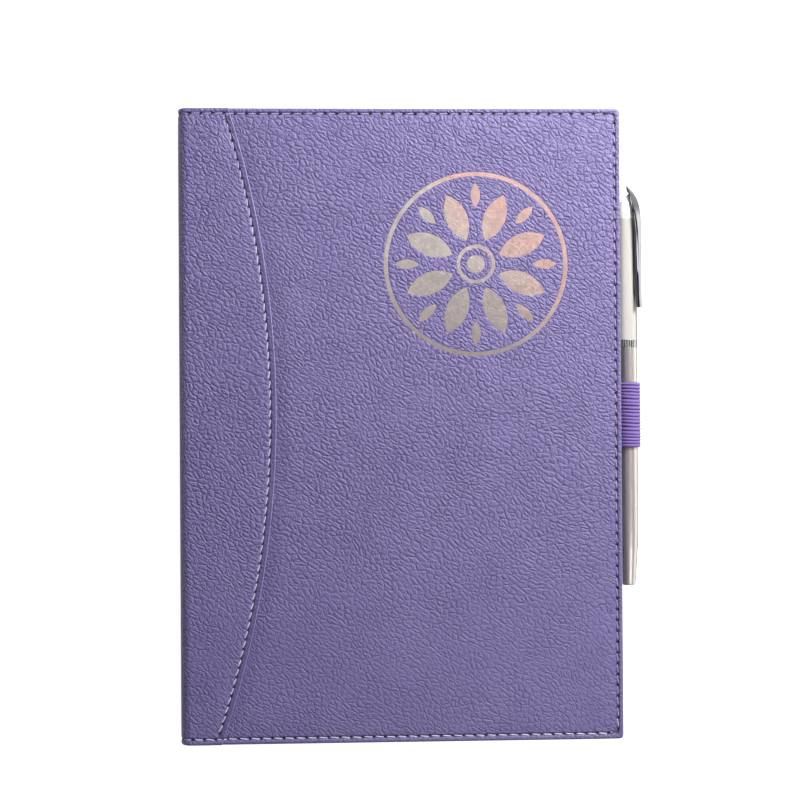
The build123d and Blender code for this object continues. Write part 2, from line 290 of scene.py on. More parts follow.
def grain_field(m, p):
    """Pebbled grain: small cells whose creases deepen along streaks that follow a slow flow."""
    g = GRAIN

    def drift(q, f, detail, amount):
        off = m.vmath("SUBTRACT", m.noise(q, f, detail, 0.6, color=True), (0.5, 0.5, 0.5))
        return m.vmath("ADD", q, m.vmath("SCALE", off, scale=amount))

    # the case unrolled flat: back cover, spine, front cover
    x, y, z = m.xyz(p)
    front = m.math("SUBTRACT", m.math("MULTIPLY", m.math("GREATER_THAN", z, 8.5), 2.0), 1.0)
    flat = m.n("ShaderNodeCombineXYZ")
    m.link(m.math("ADD", m.math("MULTIPLY", m.math("ADD", x, FOLD_R), front), z), flat.inputs[0])
    m.link(m.math("ADD", y, m.math("MULTIPLY", z, 0.35)), flat.inputs[1])
    p1 = drift(flat.outputs[0], 0.03, 1.0, g["flow"])
    p2 = drift(p1, g["kink_f"], 2.0, g["kink"])

    def drawn_out(key):
        k = m.n("ShaderNodeMapping", vector_type="TEXTURE")
        m.link(p2, k.inputs["Vector"])
        k.inputs["Rotation"].default_value = (0, 0, math.radians(g["turn"]))
        k.inputs["Scale"].default_value = g[key]
        return k.outputs[0]

    cell = m.voronoi(drawn_out("cell"), 1.0, "DISTANCE_TO_EDGE", rand=g["rand"], flat=True)
    run = m.span(m.noise(drawn_out("streak"), 1.0, 1.0), 0.40, 0.58, g["run"], 1.0)
    crease = m.math("MULTIPLY", m.span(cell, 0.0, g["width"], 1.0, 0.0), run)
    dome = m.math("MULTIPLY", m.span(cell, 0.0, g["dome"], -1.0, 0.0), m.math("ADD", m.math("MULTIPLY", run, 0.5), 0.5))
    return crease, dome, p1


def leather(name):
    m = Mat(name)
    p = m.rest()
    crease, dome, p1 = grain_field(m, p)
    grain, tone = m.attr("grain"), m.attr("tone")
    x, y, z = m.xyz(p)
    grain = m.math("MULTIPLY", grain, m.span(y, -85.0, -15.0, 0.68, 1.0))
    fine = m.noise(p, 1.5, 2.0, 0.6)
    height = m.math("ADD", m.math("MULTIPLY", crease, -GRAIN["crease"]), m.math("MULTIPLY", dome, GRAIN["rise"]))
    height = m.math("ADD", height, m.math("MULTIPLY", fine, GRAIN["fine"]))
    normal = m.bump(height, GRAIN["depth"], grain)
    patch = m.noise(p, 0.06, 3.0, 0.6)
    base = m.mix(m.span(patch, 0.3, 0.7), rgb(88, 77, 122), rgb(92, 81, 126))
    # creases painted darker: painted shade in the grain's creases
    dark = m.math("MULTIPLY", crease, m.math("MULTIPLY", grain, GRAIN["dark"]))
    base = m.mix(dark, base, rgb(34, 25, 62))
    # tone, set on the meshes, multiplies in painted shade and the painted highlight on the lap's cut edge
    shade = m.n("ShaderNodeCombineColor")
    for i in range(3):
        m.link(tone, shade.inputs[i])
    base = m.mix(1.0, base, shade.outputs[0], "MULTIPLY")
    rough = m.span(fine, 0.25, 0.75, 0.42, 0.55)
    return m.set(
        Base_Color=base, Roughness=rough, Normal=normal, Specular_IOR_Level=0.5, Sheen_Weight=0.0
    )


def thread_mat():
    m = Mat("thread")
    p = m.rest()
    twist = m.n("ShaderNodeTexWave", wave_type="BANDS", bands_direction="DIAGONAL")
    m.link(p, twist.inputs["Vector"])
    twist.inputs["Scale"].default_value = 1.5
    twist.inputs["Distortion"].default_value = 1.0
    fac = m.span(twist.outputs["Fac"], 0.2, 0.8)
    base = m.mix(fac, rgb(102, 90, 140), rgb(146, 134, 180))
    x, y, z = m.xyz(p)
    # thread painted brighter in the spine-side part below the head and along the tail: a painted glint
    seam = m.math("MULTIPLY", m.span(x, 50.0, 75.0, 1.0, 0.0), m.span(y, 60.0, 100.0, 1.0, 0.0))
    lit = m.math("MAXIMUM", seam, m.span(y, -104.0, -96.0, 1.0, 0.0))
    base = m.mix(m.math("MULTIPLY", lit, 0.58), base, m.mix(fac, rgb(138, 126, 172), rgb(214, 205, 230)))
    return m.set(
        Base_Color=base,
        Roughness=m.span(m.noise(p, 3.0), 0.3, 0.7, 0.28, 0.40),
        Normal=m.bump(fac, 0.00004),
    )


def foil_mat():
    m = Mat("foil")
    p = m.rest()
    crease, dome, p1 = grain_field(m, p)
    x, y, z = m.xyz(p)
    # lighter towards the head and rose towards the upper right: painted light and a painted rose reflection
    along = m.math("ADD", m.math("MULTIPLY", x, 0.75), m.math("MULTIPLY", y, 0.65))
    warm = m.span(m.math("ADD", along, m.math("MULTIPLY", m.noise(p, 0.09, 1.0), 16.0)), 110.0, 138.0)
    silver = m.mix(m.span(y, 18.0, 72.0), rgb(158, 146, 145), rgb(192, 182, 176))
    base = m.mix(warm, silver, rgb(194, 158, 150))
    cloud = m.span(m.noise(p, 0.5, 3.0, 0.65), 0.35, 0.65)
    base = m.mix(m.math("MULTIPLY", cloud, 0.35), base, rgb(140, 128, 128))
    rub = m.span(m.noise(p, 1.1, 4.0, 0.7), 0.66, 0.72)
    base = m.mix(m.math("MULTIPLY", rub, 0.55), base, rgb(92, 82, 100))
    height = m.math(
        "ADD", m.math("MULTIPLY", crease, -0.35), m.math("MULTIPLY", m.noise(p, 2.6, 3.0, 0.6), 0.9)
    )
    return m.set(
        Base_Color=base,
        Metallic=0.85,
        Roughness=m.span(m.noise(p, 1.6, 3.0), 0.3, 0.7, 0.34, 0.48),
        Normal=m.bump(height, 0.00005),
    )


def paper_mat(name, ruled=False, tint=(206, 202, 192)):
    m = Mat(name)
    p = m.rest()
    x, y, z = m.xyz(p)
    fibre = m.noise(p, 0.9, 4.0, 0.65)
    base = m.mix(m.span(fibre, 0.35, 0.65), rgb(*[c - 7 for c in tint]), rgb(*tint))
    if ruled:
        cyc = m.math("FRACT", m.math("DIVIDE", m.math("ADD", y, 400.0), 7.6))
        line = m.math("LESS_THAN", m.math("ABSOLUTE", m.math("SUBTRACT", cyc, 0.5)), 0.014)
        inside = m.math("MULTIPLY", m.math("GREATER_THAN", x, 11.0), m.math("LESS_THAN", x, 131.0))
        inside = m.math("MULTIPLY", inside, m.math("LESS_THAN", y, 92.0))
        inside = m.math("MULTIPLY", inside, m.math("GREATER_THAN", y, -96.0))
        base = m.mix(m.math("MULTIPLY", line, inside), base, rgb(118, 108, 150))
        head = m.math("LESS_THAN", m.math("ABSOLUTE", m.math("SUBTRACT", y, 94.2)), 0.28)
        wide = m.math("MULTIPLY", m.math("GREATER_THAN", x, 11.0), m.math("LESS_THAN", x, 131.0))
        base = m.mix(m.math("MULTIPLY", head, wide), base, rgb(98, 84, 142))
        tab = m.math("GREATER_THAN", x, 136.7)
        base = m.mix(tab, base, rgb(176, 164, 204))
    return m.set(Base_Color=base, Roughness=m.span(fibre, 0.3, 0.7, 0.75, 0.9))


def page_edge_mat():
    """Cut edges of the leaves: thin lines that run along the block, painted darker than the faces of the leaves as
    shade between them.
    """
    m = Mat("paper_edge")
    p = m.rest()
    line = m.noise(m.vmath("MULTIPLY", p, (0.03, 0.03, 3.2)), 1.0, 3.0, 0.6)
    # painted shade: edge colours darker than the faces of the leaves
    base = m.mix(m.span(line, 0.36, 0.62), rgb(100, 95, 87), rgb(152, 147, 137))
    return m.set(Base_Color=base, Roughness=m.span(m.noise(p, 0.9, 3.0), 0.3, 0.7, 0.78, 0.92))


def endpaper_mat(name, cad):
    m = Mat(name)
    p = m.obj_mm() if cad else m.rest()
    spots = m.voronoi(p, 0.28, "F1", "Distance", 0.0)
    dot = m.span(spots, 0.26, 0.30, 1.0, 0.0)
    fibre = m.noise(p, 0.7, 4.0, 0.6)
    base = m.mix(m.span(fibre, 0.3, 0.7), rgb(190, 181, 206), rgb(197, 189, 211))
    base = m.mix(m.math("MULTIPLY", dot, 0.55), base, rgb(212, 207, 219))
    return m.set(Base_Color=base, Roughness=m.span(fibre, 0.3, 0.7, 0.7, 0.85))


def ink_mat():
    m = Mat("index_ink")
    p = m.rest()
    return m.set(
        Base_Color=m.mix(m.span(m.noise(p, 2.0), 0.3, 0.7), rgb(84, 66, 136), rgb(98, 80, 150)),
        Roughness=m.span(m.noise(p, 4.0), 0.3, 0.7, 0.6, 0.75),
    )


def elastic_mat():
    m = Mat("elastic")
    p = m.rest()
    rib = m.attr("rib")
    x, y, z = m.xyz(p)
    weave = m.noise(m.vmath("MULTIPLY", p, (2.2, 4.5, 2.2)), 1.0, 3.0, 0.6)
    # ribs light and grooves dark: painted shade in the grooves between the ribs
    base = m.mix(m.span(rib, 0.1, 0.9), rgb(36, 25, 60), rgb(98, 77, 134))
    base = m.mix(m.span(weave, 0.35, 0.75, 0.0, 0.3), base, rgb(122, 101, 158))
    return m.set(
        Base_Color=base,
        Roughness=m.span(weave, 0.3, 0.7, 0.7, 0.9),
        Normal=m.bump(weave, 0.00010),
        Specular_IOR_Level=0.25,
    )


def metal_mat(name, a, b, rough, metallic=1.0, cad=True, streak=None):
    m = Mat(name)
    p = m.obj_mm() if cad else m.rest()
    q = m.vmath("MULTIPLY", p, streak) if streak else p
    n = m.noise(q, 1.0, 3.0, 0.6)
    return m.set(
        Base_Color=m.mix(m.span(n, 0.3, 0.7), rgb(*a), rgb(*b)),
        Metallic=metallic,
        Roughness=m.span(n, 0.3, 0.7, rough[0], rough[1]),
    )


def upper_mat():
    """Satin silver barrel with a painted shadow under the clip, a painted lighter left side and a painted dark
    reflection along the outer side.
    """
    m = Mat("pen_upper")
    p = m.obj_mm()
    x, y, z = m.xyz(p)
    n = m.noise(m.vmath("MULTIPLY", p, (2.0, 0.25, 2.0)), 1.0, 3.0, 0.6)
    turn = m.math("ARCTAN2", m.math("SUBTRACT", z, PEN_Z), m.math("SUBTRACT", x, PEN_X + SX))
    off = m.math("ABSOLUTE", m.math("SUBTRACT", turn, math.radians(42)))
    # painted shadow of the clip on the barrel below it
    under = m.math("MULTIPLY", m.span(off, 0.22, 0.50, 1.0, 0.0), m.span(y, 41.0, 46.0))
    base = m.mix(m.span(n, 0.3, 0.7), rgb(156, 152, 147), rgb(162, 158, 153))
    # left side painted lighter, as painted light
    base = m.mix(m.span(turn, 1.35, 2.5), base, rgb(210, 206, 200))
    # painted dark reflection along the outer side, with metal and specular turned down there
    rim = m.span(m.math("ABSOLUTE", turn), 0.50, 0.84, 1.0, 0.0)
    base = m.mix(m.math("MULTIPLY", rim, 0.95), base, rgb(34, 32, 31))
    return m.set(
        Base_Color=m.mix(m.math("MULTIPLY", under, 0.9), base, rgb(48, 46, 45)),
        Metallic=m.span(rim, 0.0, 1.0, 0.15, 0.0),
        Specular_IOR_Level=m.span(rim, 0.0, 1.0, 0.5, 0.02),
        Roughness=m.span(n, 0.3, 0.7, 0.40, 0.44),
    )


def lower_mat():
    """Brushed barrel with painted shade on the side next to the cover and a painted dark reflection along the outer
    side.
    """
    m = Mat("pen_lower")
    p = m.obj_mm()
    x, y, z = m.xyz(p)
    n = m.noise(m.vmath("MULTIPLY", p, (2.0, 0.25, 2.0)), 1.0, 3.0, 0.6)
    turn = m.math("ARCTAN2", m.math("SUBTRACT", z, PEN_Z), m.math("SUBTRACT", x, PEN_X + SX))
    base = m.mix(m.span(n, 0.3, 0.7), rgb(202, 194, 189), rgb(208, 200, 195))
    # painted shade on the side next to the cover
    base = m.mix(m.math("MULTIPLY", m.span(turn, 1.25, 1.75), 0.42), base, rgb(128, 119, 115))
    # painted dark reflection along the outer side, with metal and specular turned down there
    rim = m.span(m.math("ABSOLUTE", turn), 0.50, 0.84, 1.0, 0.0)
    base = m.mix(m.math("MULTIPLY", rim, 0.95), base, rgb(38, 35, 33))
    return m.set(
        Base_Color=base,
        Metallic=m.span(rim, 0.0, 1.0, 0.85, 0.1),
        Specular_IOR_Level=m.span(rim, 0.0, 1.0, 0.5, 0.02),
        Roughness=m.span(n, 0.3, 0.7, 0.32, 0.36),
    )


def clip_mat():
    """Bright plating of the clip, darkened by the tone attribute: painted dark reflections with painted highlight
    streaks on the bow, painted shade along one edge of the arm and on its inside.
    """
    m = Mat("pen_chrome_clip")
    p = m.obj_mm()
    n = m.noise(m.vmath("MULTIPLY", p, (0.6, 0.2, 0.6)), 1.0, 3.0, 0.6)
    base = m.mix(m.span(n, 0.3, 0.7), rgb(150, 150, 153), rgb(160, 160, 163))
    return m.set(
        Base_Color=m.mix(m.attr("tone"), rgb(10, 10, 11), base),
        Metallic=1.0,
        Roughness=m.span(n, 0.3, 0.7, 0.07, 0.12),
    )


def ring_mat():
    """Bright ring with painted shade in its straight grooves and a painted dark reflection along the outer side."""
    m = Mat("pen_ring")
    p = m.obj_mm()
    x, y, z = m.xyz(p)
    turn = m.math("ARCTAN2", m.math("SUBTRACT", z, PEN_Z), m.math("SUBTRACT", x, PEN_X + SX))
    step = m.math("PINGPONG", m.math("MULTIPLY", turn, 28 / (2 * math.pi)), 0.5)
    n = m.noise(p, 1.2, 3.0, 0.6)
    # painted shade in the grooves between the bright bars
    groove_shade_and_rim_reflection = m.span(step, 0.20, 0.26, 1.0, 0.0)
    base = m.mix(m.span(n, 0.3, 0.7), rgb(196, 194, 190), rgb(210, 208, 204))
    # painted dark reflection along the outer side, as on the barrels
    groove_shade_and_rim_reflection = m.math("MAXIMUM", groove_shade_and_rim_reflection, m.span(m.math("ABSOLUTE", turn), 0.50, 0.80, 1.0, 0.0))
    return m.set(
        Base_Color=m.mix(groove_shade_and_rim_reflection, base, rgb(18, 16, 15)),
        Metallic=m.span(groove_shade_and_rim_reflection, 0.0, 1.0, 0.8, 0.1),
        Specular_IOR_Level=m.span(groove_shade_and_rim_reflection, 0.0, 1.0, 0.5, 0.05),
        Roughness=m.span(n, 0.3, 0.7, 0.24, 0.34),
    )


def plain_mat(name, a, b, scale, rough, bump=0.0, cad=True):
    m = Mat(name)
    p = m.obj_mm() if cad else m.rest()
    n = m.noise(p, scale, 4.0, 0.65)
    kw = {}
    if bump:
        kw["Normal"] = m.bump(n, bump)
    return m.set(
        Base_Color=m.mix(m.span(n, 0.3, 0.7), rgb(*a), rgb(*b)),
        Roughness=m.span(n, 0.3, 0.7, rough[0], rough[1]),
        **kw,
    )


def weave_mat(name):
    m = Mat(name)
    p = m.obj_mm()
    x, y, z = m.xyz(p)
    wy = m.math("SINE", m.math("MULTIPLY", y, 9.0))
    wz = m.math("SINE", m.math("MULTIPLY", z, 9.0))
    w = m.span(m.math("MULTIPLY", wy, wz), -0.6, 0.6)
    return m.set(
        Base_Color=m.mix(w, rgb(196, 190, 176), rgb(232, 228, 218)),
        Roughness=m.span(m.noise(p, 2.0), 0.3, 0.7, 0.8, 0.95),
        Normal=m.bump(w, 0.00006),
    )


LEATHER = leather("case_skin")
THREAD = thread_mat()
FOIL = foil_mat()
PAPER_EDGE = page_edge_mat()
PAPER_RULED = paper_mat("paper_ruled", ruled=True)
END_CAD = endpaper_mat("endpaper", True)
END_LEAF = endpaper_mat("endpaper_leaf", False)
INK = ink_mat()
ELASTIC = elastic_mat()


# ------------------------------------------------------------- the leather
def arc_at(y, off=0.0):
    r = ARC_R - off
    return ARC_X - ARC_R + np.sqrt(r * r - (y - ARC_Y) ** 2)


def arc_depth(x, y):
    """Distance behind the cut edge of the lapped panel; negative in front of it."""
    return ARC_R - np.hypot(x - (ARC_X - ARC_R), y - ARC_Y)


def spread(half, edge, fine, coarse):
    a = np.arange(0, edge - 1e-6, fine)
    b = np.linspace(-half + edge, half - edge, int(round((2 * half - 2 * edge) / coarse)) + 1)
    return np.concatenate([-half + a, b, (half - a)[::-1]])


def edge_distance(x, y):
    a, b = XR - x, HY - np.abs(y)
    m = np.minimum(a, b)
    d = m - np.log1p(np.exp(-1.6 * np.abs(a - b))) / 1.6
    return np.maximum(d, 0.0)


def rim(d):
    """Rolled border and the trench that the stitching pulls down."""
    roll = np.where(d < 0.9, np.sqrt(np.clip(0.81 - (0.9 - np.minimum(d, 0.9)) ** 2, 0, 1)) - 0.9, 0)
    return roll - 0.42 * np.exp(-(((d - STITCH_D) / 0.46) ** 2))


def pad(d):
    return 1 - np.exp(-np.maximum(d - 2.4, 0) / 3.2)


def phase(s, pitch, s0):
    return (s - s0 + pitch / 2) % pitch - pitch / 2


def hole_mask(d, s, pitch, s0):
    t = phase(s, pitch, s0)
    return np.exp(-((((d - STITCH_D) / 0.50) ** 2 + (t / 0.84) ** 2) ** 1.8))


def edge_holes(x, y, d):
    """Needle holes of the edge stitching on a cover."""
    side = (XR - x) < (HY - np.abs(y))
    return np.where(side, hole_mask(d, y, PITCH, HOLE_Y), hole_mask(d, x, PITCH_X, HOLE_X))


HOLE_Y = -0.76
HOLE_X = 0.6
SEAM_PITCH = 3.3


def strip_tone(d):
    # painted shade: darker in the stitch trench and a little darker along the rolled border strip
    border = 1 - smooth01(d, 1.2, 3.2)
    return 1 - 0.30 * np.exp(-(((d - STITCH_D) / 0.55) ** 2)) - 0.05 * border


def petal_half(u, r0, r1, width):
    m, s = (r0 + r1) / 2, width / 2
    rl = ((r1 - r0) ** 2 / 4 + s * s) / (2 * s)
    return np.sqrt(np.maximum(rl * rl - (u - m) ** 2, 0)) - (rl - s)


FOIL_C = (97.6, 54.7)


def foil_mask(x, y, grow=0.22):
    dx, dy = x - FOIL_C[0], y - FOIL_C[1]
    r = np.hypot(dx, dy)
    out = np.zeros(r.shape)
    near = r < 34
    for r0, r1 in ((-9, 3.0), (5.4, 6.6), (30.0, 31.4)):
        out = np.maximum(out, smooth01(np.minimum(r - r0, r1 - r) + grow, -0.15, 0.2))
    ang = np.degrees(np.arctan2(dy, dx))
    for off, r0, r1, w in ((22.5, 8.6, 25.4, 7.4), (0.0, 19.4, 27.6, 3.2)):
        a = np.radians((ang - off + 22.5) % 45 - 22.5)
        u, v = r * np.cos(a), np.abs(r * np.sin(a))
        h = petal_half(np.clip(u, r0, r1), r0, r1, w)
        over = np.maximum(r0 - u, u - r1)
        dist = np.minimum(h - v, -over)
        out = np.maximum(out, smooth01(dist + grow, -0.15, 0.2))
    return np.where(near, out, 0)


def panel_base(x, y, d):
    """Top of the main front panel before stitching holes and foil."""
    e = arc_depth(x, y)
    open_ = smooth01(-e, 0.0, 5.0)
    z = 16.40 + rim(d) + 0.30 * pad(d) * open_ + swell(x, y, 3, 26, 0.035) * pad(d) * open_
    return z - 0.10 * (1 - smooth01(-e, 0.2, 2.2)) - 0.25 * smooth01(e, 0.3, 2.5)


def wrap_base(x, y, d):
    """Top of the panel that wraps over from the spine."""
    e = arc_depth(x, y)
    z = 17.00 + rim(d) + (0.12 * pad(d) + swell(x, y, 5, 22, 0.03) * pad(d)) * smooth01(
        x, 0, 9
    ) * smooth01(e, 2.2, 6.0)
    far = smooth01(d, 2.2, 3.4)
    z = z - 0.30 * np.exp(-(((e - 2.0) / 0.42) ** 2)) * far
    z = z - 0.10 * smooth01(e, 0.1, 1.2) * (1 - smooth01(e, 1.6, 3.0)) - 0.12 * np.clip(1 - e / 0.16, 0, 1) ** 2
    return z


def seam_s(x, y):
    return ARC_R * np.arctan2(y - ARC_Y, x - (ARC_X - ARC_R))


def inset(x, y, m):
    """Point of the fore-edge outline moved inwards by m."""
    k = max(CORNER, m)
    cx0, cy0 = np.minimum(x, XR - CORNER), np.clip(y, -HY + CORNER, HY - CORNER)
    dx, dy = x - cx0, y - cy0
    ln = np.maximum(np.hypot(dx, dy), 1e-9)
    cx, cy = np.minimum(x, XR - k), np.clip(y, -HY + k, HY - k)
    r = max(CORNER - m, 0.0)
    return cx + dx / ln * r, cy + dy / ln * r


def round_corner(x, y):
    a, b = XR - x, HY - np.abs(y)
    q1, q2 = np.clip(1 - a / CORNER, 0, 1), np.clip(1 - b / CORNER, 0, 1)
    both = (q1 > 0) & (q2 > 0)
    u, v = q1 * np.sqrt(1 - q2 * q2 / 2), q2 * np.sqrt(1 - q1 * q1 / 2)
    x = np.where(both, XR - CORNER * (1 - u), x)
    y = np.where(both, np.sign(y) * (HY - CORNER * (1 - v)), y)
    return x, y


FINE = 0.37
YS = spread(HY, 4.0, 0.16, FINE)
YB = spread(HY, 4.0, 0.16, 0.74)


def front_panel():
    near = np.concatenate(
        [[-6, -4.5, -3, -1.5, -0.8, -0.4, -0.15], np.arange(0, 1.2, 0.2), np.arange(1.3, 4.1, 0.33)]
    )
    mid = np.linspace(0, 1, 330)[1:-1]
    edge = XR - np.arange(4.0, -1e-6, -0.16)
    y = YS[:, None]
    ax = arc_at(y)
    x = np.concatenate(
        [ax + near[None], (ax + 4.3) * (1 - mid[None]) + (XR - 4.2) * mid[None], ax * 0 + edge[None]],
        axis=1,
    )
    x, y = round_corner(x, np.broadcast_to(y, x.shape).copy())
    # the strip below the lapped panel stays clear of that panel's own turn-in
    below = smooth01(arc_depth(x, y), 0.0, 0.5)
    y = y - np.sign(y) * 0.3 * below * np.exp(-(HY - np.abs(y)) / 0.8)
    d = edge_distance(x, y)
    d[0], d[-1], d[:, -1] = 0, 0, 0
    e = arc_depth(x, y)
    holes = edge_holes(x, y, d) * (e < 0.4)
    foil = foil_mask(x, y)
    z = panel_base(x, y, d) - 0.14 * holes - 0.085 * foil
    grain = (0.75 + 0.25 * smooth01(d, 1.6, 3.4)) * (1 - 0.5 * foil)
    # needle holes painted nearly black as shade, over the painted trench shade
    tone = strip_tone(d) * (1 - 0.95 * holes)
    # painted shadow of the lapped panel just in front of its cut edge
    tone *= 1 - 0.22 * np.exp(-((np.minimum(e, 0) / 0.5) ** 2))
    m = Mesh("grain", "tone")
    nr, nc = x.shape
    m.add(np.stack([x, y, z], -1), [grid(nr, nc)], grain=grain, tone=tone)
    # rolled wall and turn-in round the three outer sides
    loop = np.concatenate(
        [np.arange(nc), (np.arange(1, nr)) * nc + nc - 1, (nr - 1) * nc + np.arange(nc - 2, -1, -1)]
    )
    lx, ly, lz = x.ravel()[loop], y.ravel()[loop], z.ravel()[loop]
    rings = [np.stack([lx, ly, lz], -1)]
    for mm, zz in (
        (0.0, 15.1), (0.0, 14.5), (0.0, 13.95), (0.12, 13.62), (0.42, 13.45), (1.2, 13.43), (3.4, 13.43), (7.0, 13.43)
    ):
        px, py = inset(lx, ly, mm)
        under = below.ravel()[loop]
        rings.append(np.stack([px, py - np.sign(py) * 0.3 * under, zz + 0.06 * under], -1))
    r = np.array(rings)
    # the rolled wall and turn-in are painted a little darker as shade
    m.add(r, [grid(len(rings), len(loop), flip=True)], grain=0.5, tone=0.94)
    return m.make("front_panel_leather", LEATHER)


def front_wrap():
    back = np.concatenate([np.arange(0, 0.61, 0.12), np.arange(0.8, 5.01, 0.2)])
    t = np.linspace(0, 1, 64)[:-1]
    y = YS[:, None]
    ax = arc_at(y)
    x = np.concatenate([(ax - 5.2) * t[None], (ax - back[None])[:, ::-1]], axis=1)
    y = np.broadcast_to(y, x.shape).copy()
    d = edge_distance(x, y)
    d[0], d[-1] = 0, 0
    e = np.maximum(arc_depth(x, y), 0)
    e[:, -1] = 0
    seam = hole_mask(e + STITCH_D - 2.0, seam_s(x, y), SEAM_PITCH, 0.7) * smooth01(d, 2.9, 3.6)
    holes = np.maximum(edge_holes(x, y, d), seam)
    z = wrap_base(x, y, d) - 0.13 * holes
    strip = 1 - smooth01(e, 1.6, 2.6)
    grain = (0.75 + 0.25 * smooth01(d, 1.6, 3.4)) * (1 - 0.45 * strip)
    # needle holes painted nearly black as shade, over the painted trench shade
    tone = strip_tone(d) * (1 - 0.95 * holes)
    # painted shade on the strip next to the cut edge and in the seam's trench
    tone *= 1 - 0.16 * strip * smooth01(d, 2, 3) - 0.2 * np.exp(-(((e - 2.0) / 0.5) ** 2))
    # painted highlight along the top of the cut edge
    tone += 0.35 * np.clip(1 - e / 0.16, 0, 1)
    m = Mesh("grain", "tone")
    nr, nc = x.shape
    m.add(np.stack([x, y, z], -1), [grid(nr, nc)], grain=grain, tone=tone)
    # cut edge down to the panel below
    cx, cy, cz = x[:, -1], y[:, -1], z[:, -1]
    rings = [np.stack([cx, cy, cz], -1)]
    low = panel_base(cx + 0.1, cy, d[:, -1])
    for dx, f in ((0.07, 0.35), (0.10, 1.15)):
        rings.append(np.stack([cx + dx, cy, cz + (low - cz) * f], -1))
    # cut edge wall: painted highlight at its top, painted shade at its foot
    m.add(np.array(rings), [grid(3, nr, flip=True)], grain=0.1, tone=np.repeat([1.35, 1.2, 0.8], nr))
    # rolled walls and turn-ins at head and tail
    for s, row in ((1, -1), (-1, 0)):
        lx, lz = x[row], z[row]
        rings = [np.stack([lx, np.full(nc, s * HY), lz], -1)]
        for mm, zz in (
            (0.0, 15.4), (0.0, 14.5), (0.0, 13.95), (0.12, 13.62), (0.42, 13.45), (1.2, 13.43), (3.4, 13.43), (7.0, 13.43)
        ):
            rings.append(np.stack([lx, np.full(nc, s * (HY - mm)), np.full(nc, zz)], -1))
        # the rolled walls and turn-ins are painted a little darker as shade
        m.add(np.array(rings), [grid(len(rings), nc, flip=(s < 0))], grain=0.5, tone=0.94)
    return m.make("front_wrap_leather", LEATHER)


def end_offset(y):
    """Rim profile at head and tail, for the spine and the folds."""
    return rim(np.maximum(HY - np.abs(y), 0))


def end_tone(y, s=None):
    d = HY - np.abs(y)
    return strip_tone(d)


def end_grain(y):
    return 0.75 + 0.25 * smooth01(HY - np.abs(y), 1.6, 3.4)


def fold_strip(name, zc, top):
    """Skin that bends where a cover meets the spine: outside, inside and ends."""
    a = np.linspace(np.pi / 2, np.pi, 15) if top else np.linspace(np.pi, 1.5 * np.pi, 15)
    ys = YS if top else YB
    off = end_offset(ys)
    r = FOLD_R + off[:, None]
    ca, sa = np.cos(a)[None], np.sin(a)[None]
    yy = np.broadcast_to(ys[:, None], (len(ys), len(a)))
    s = (a - a[0])[None] * FOLD_R + 0 * yy
    hole = hole_mask(HY - np.abs(yy), s, PITCH_X, -HOLE_X if top else FOLD_R * np.pi / 2 + HOLE_X)
    outer = np.stack([(r - 0.13 * hole) * ca, yy, zc + (r - 0.13 * hole) * sa], -1)
    ri = np.minimum(r - 0.45, FOLD_R - 0.6)
    inner = np.stack([ri * ca, yy, zc + ri * sa], -1)
    nr, nc = yy.shape
    m = Mesh("grain", "tone")
    gr = np.repeat(end_grain(ys), nc)
    # needle holes painted nearly black as shade, over the painted trench shade
    tn = np.repeat(end_tone(ys), nc) * (1 - 0.9 * hole.ravel())
    m.add(outer, [grid(nr, nc, flip=True)], grain=gr, tone=tn)
    # inside and end faces painted a little darker as shade
    m.add(inner, [grid(nr, nc)], grain=0.4, tone=0.9)
    for k, row in ((0, 0), (1, -1)):
        m.add(np.array([outer[row], inner[row]]), [grid(2, nc, flip=(k == 0))], grain=0.3, tone=0.92)
    return m.make(name, LEATHER)


def spine_skin():
    ys = YS
    zs = np.linspace(Z_LO, Z_HI, 25)
    off = end_offset(ys)[:, None]
    yy = np.broadcast_to(ys[:, None], (len(ys), len(zs)))
    zz = np.broadcast_to(zs[None], yy.shape)
    hole = hole_mask(HY - np.abs(yy), zz, PITCH, 8.5)
    x = -(FOLD_R + off) + 0.13 * hole
    nr, nc = yy.shape
    m = Mesh("grain", "tone")
    # needle holes painted nearly black as shade, over the painted trench shade
    m.add(
        np.stack([x, yy, zz], -1),
        [grid(nr, nc)],
        grain=np.repeat(end_grain(ys), nc),
        tone=np.repeat(end_tone(ys), nc) * (1 - 0.9 * hole.ravel()),
    )
    for s, row in ((1, -1), (-1, 0)):
        rings = [np.stack([x[row], yy[row], zz[row]], -1)]
        for mm, xx in ((0.0, -2.4), (0.15, -2.15), (0.45, -2.02), (2.5, -2.0), (7.5, -2.0)):
            rings.append(np.stack([np.full(nc, xx), np.full(nc, s * (HY - mm)), zs], -1))
        # wall painted a little darker as shade
        m.add(np.array(rings), [grid(len(rings), nc, flip=(s > 0))], grain=0.5, tone=0.94)
    return m.make("spine_leather", LEATHER)


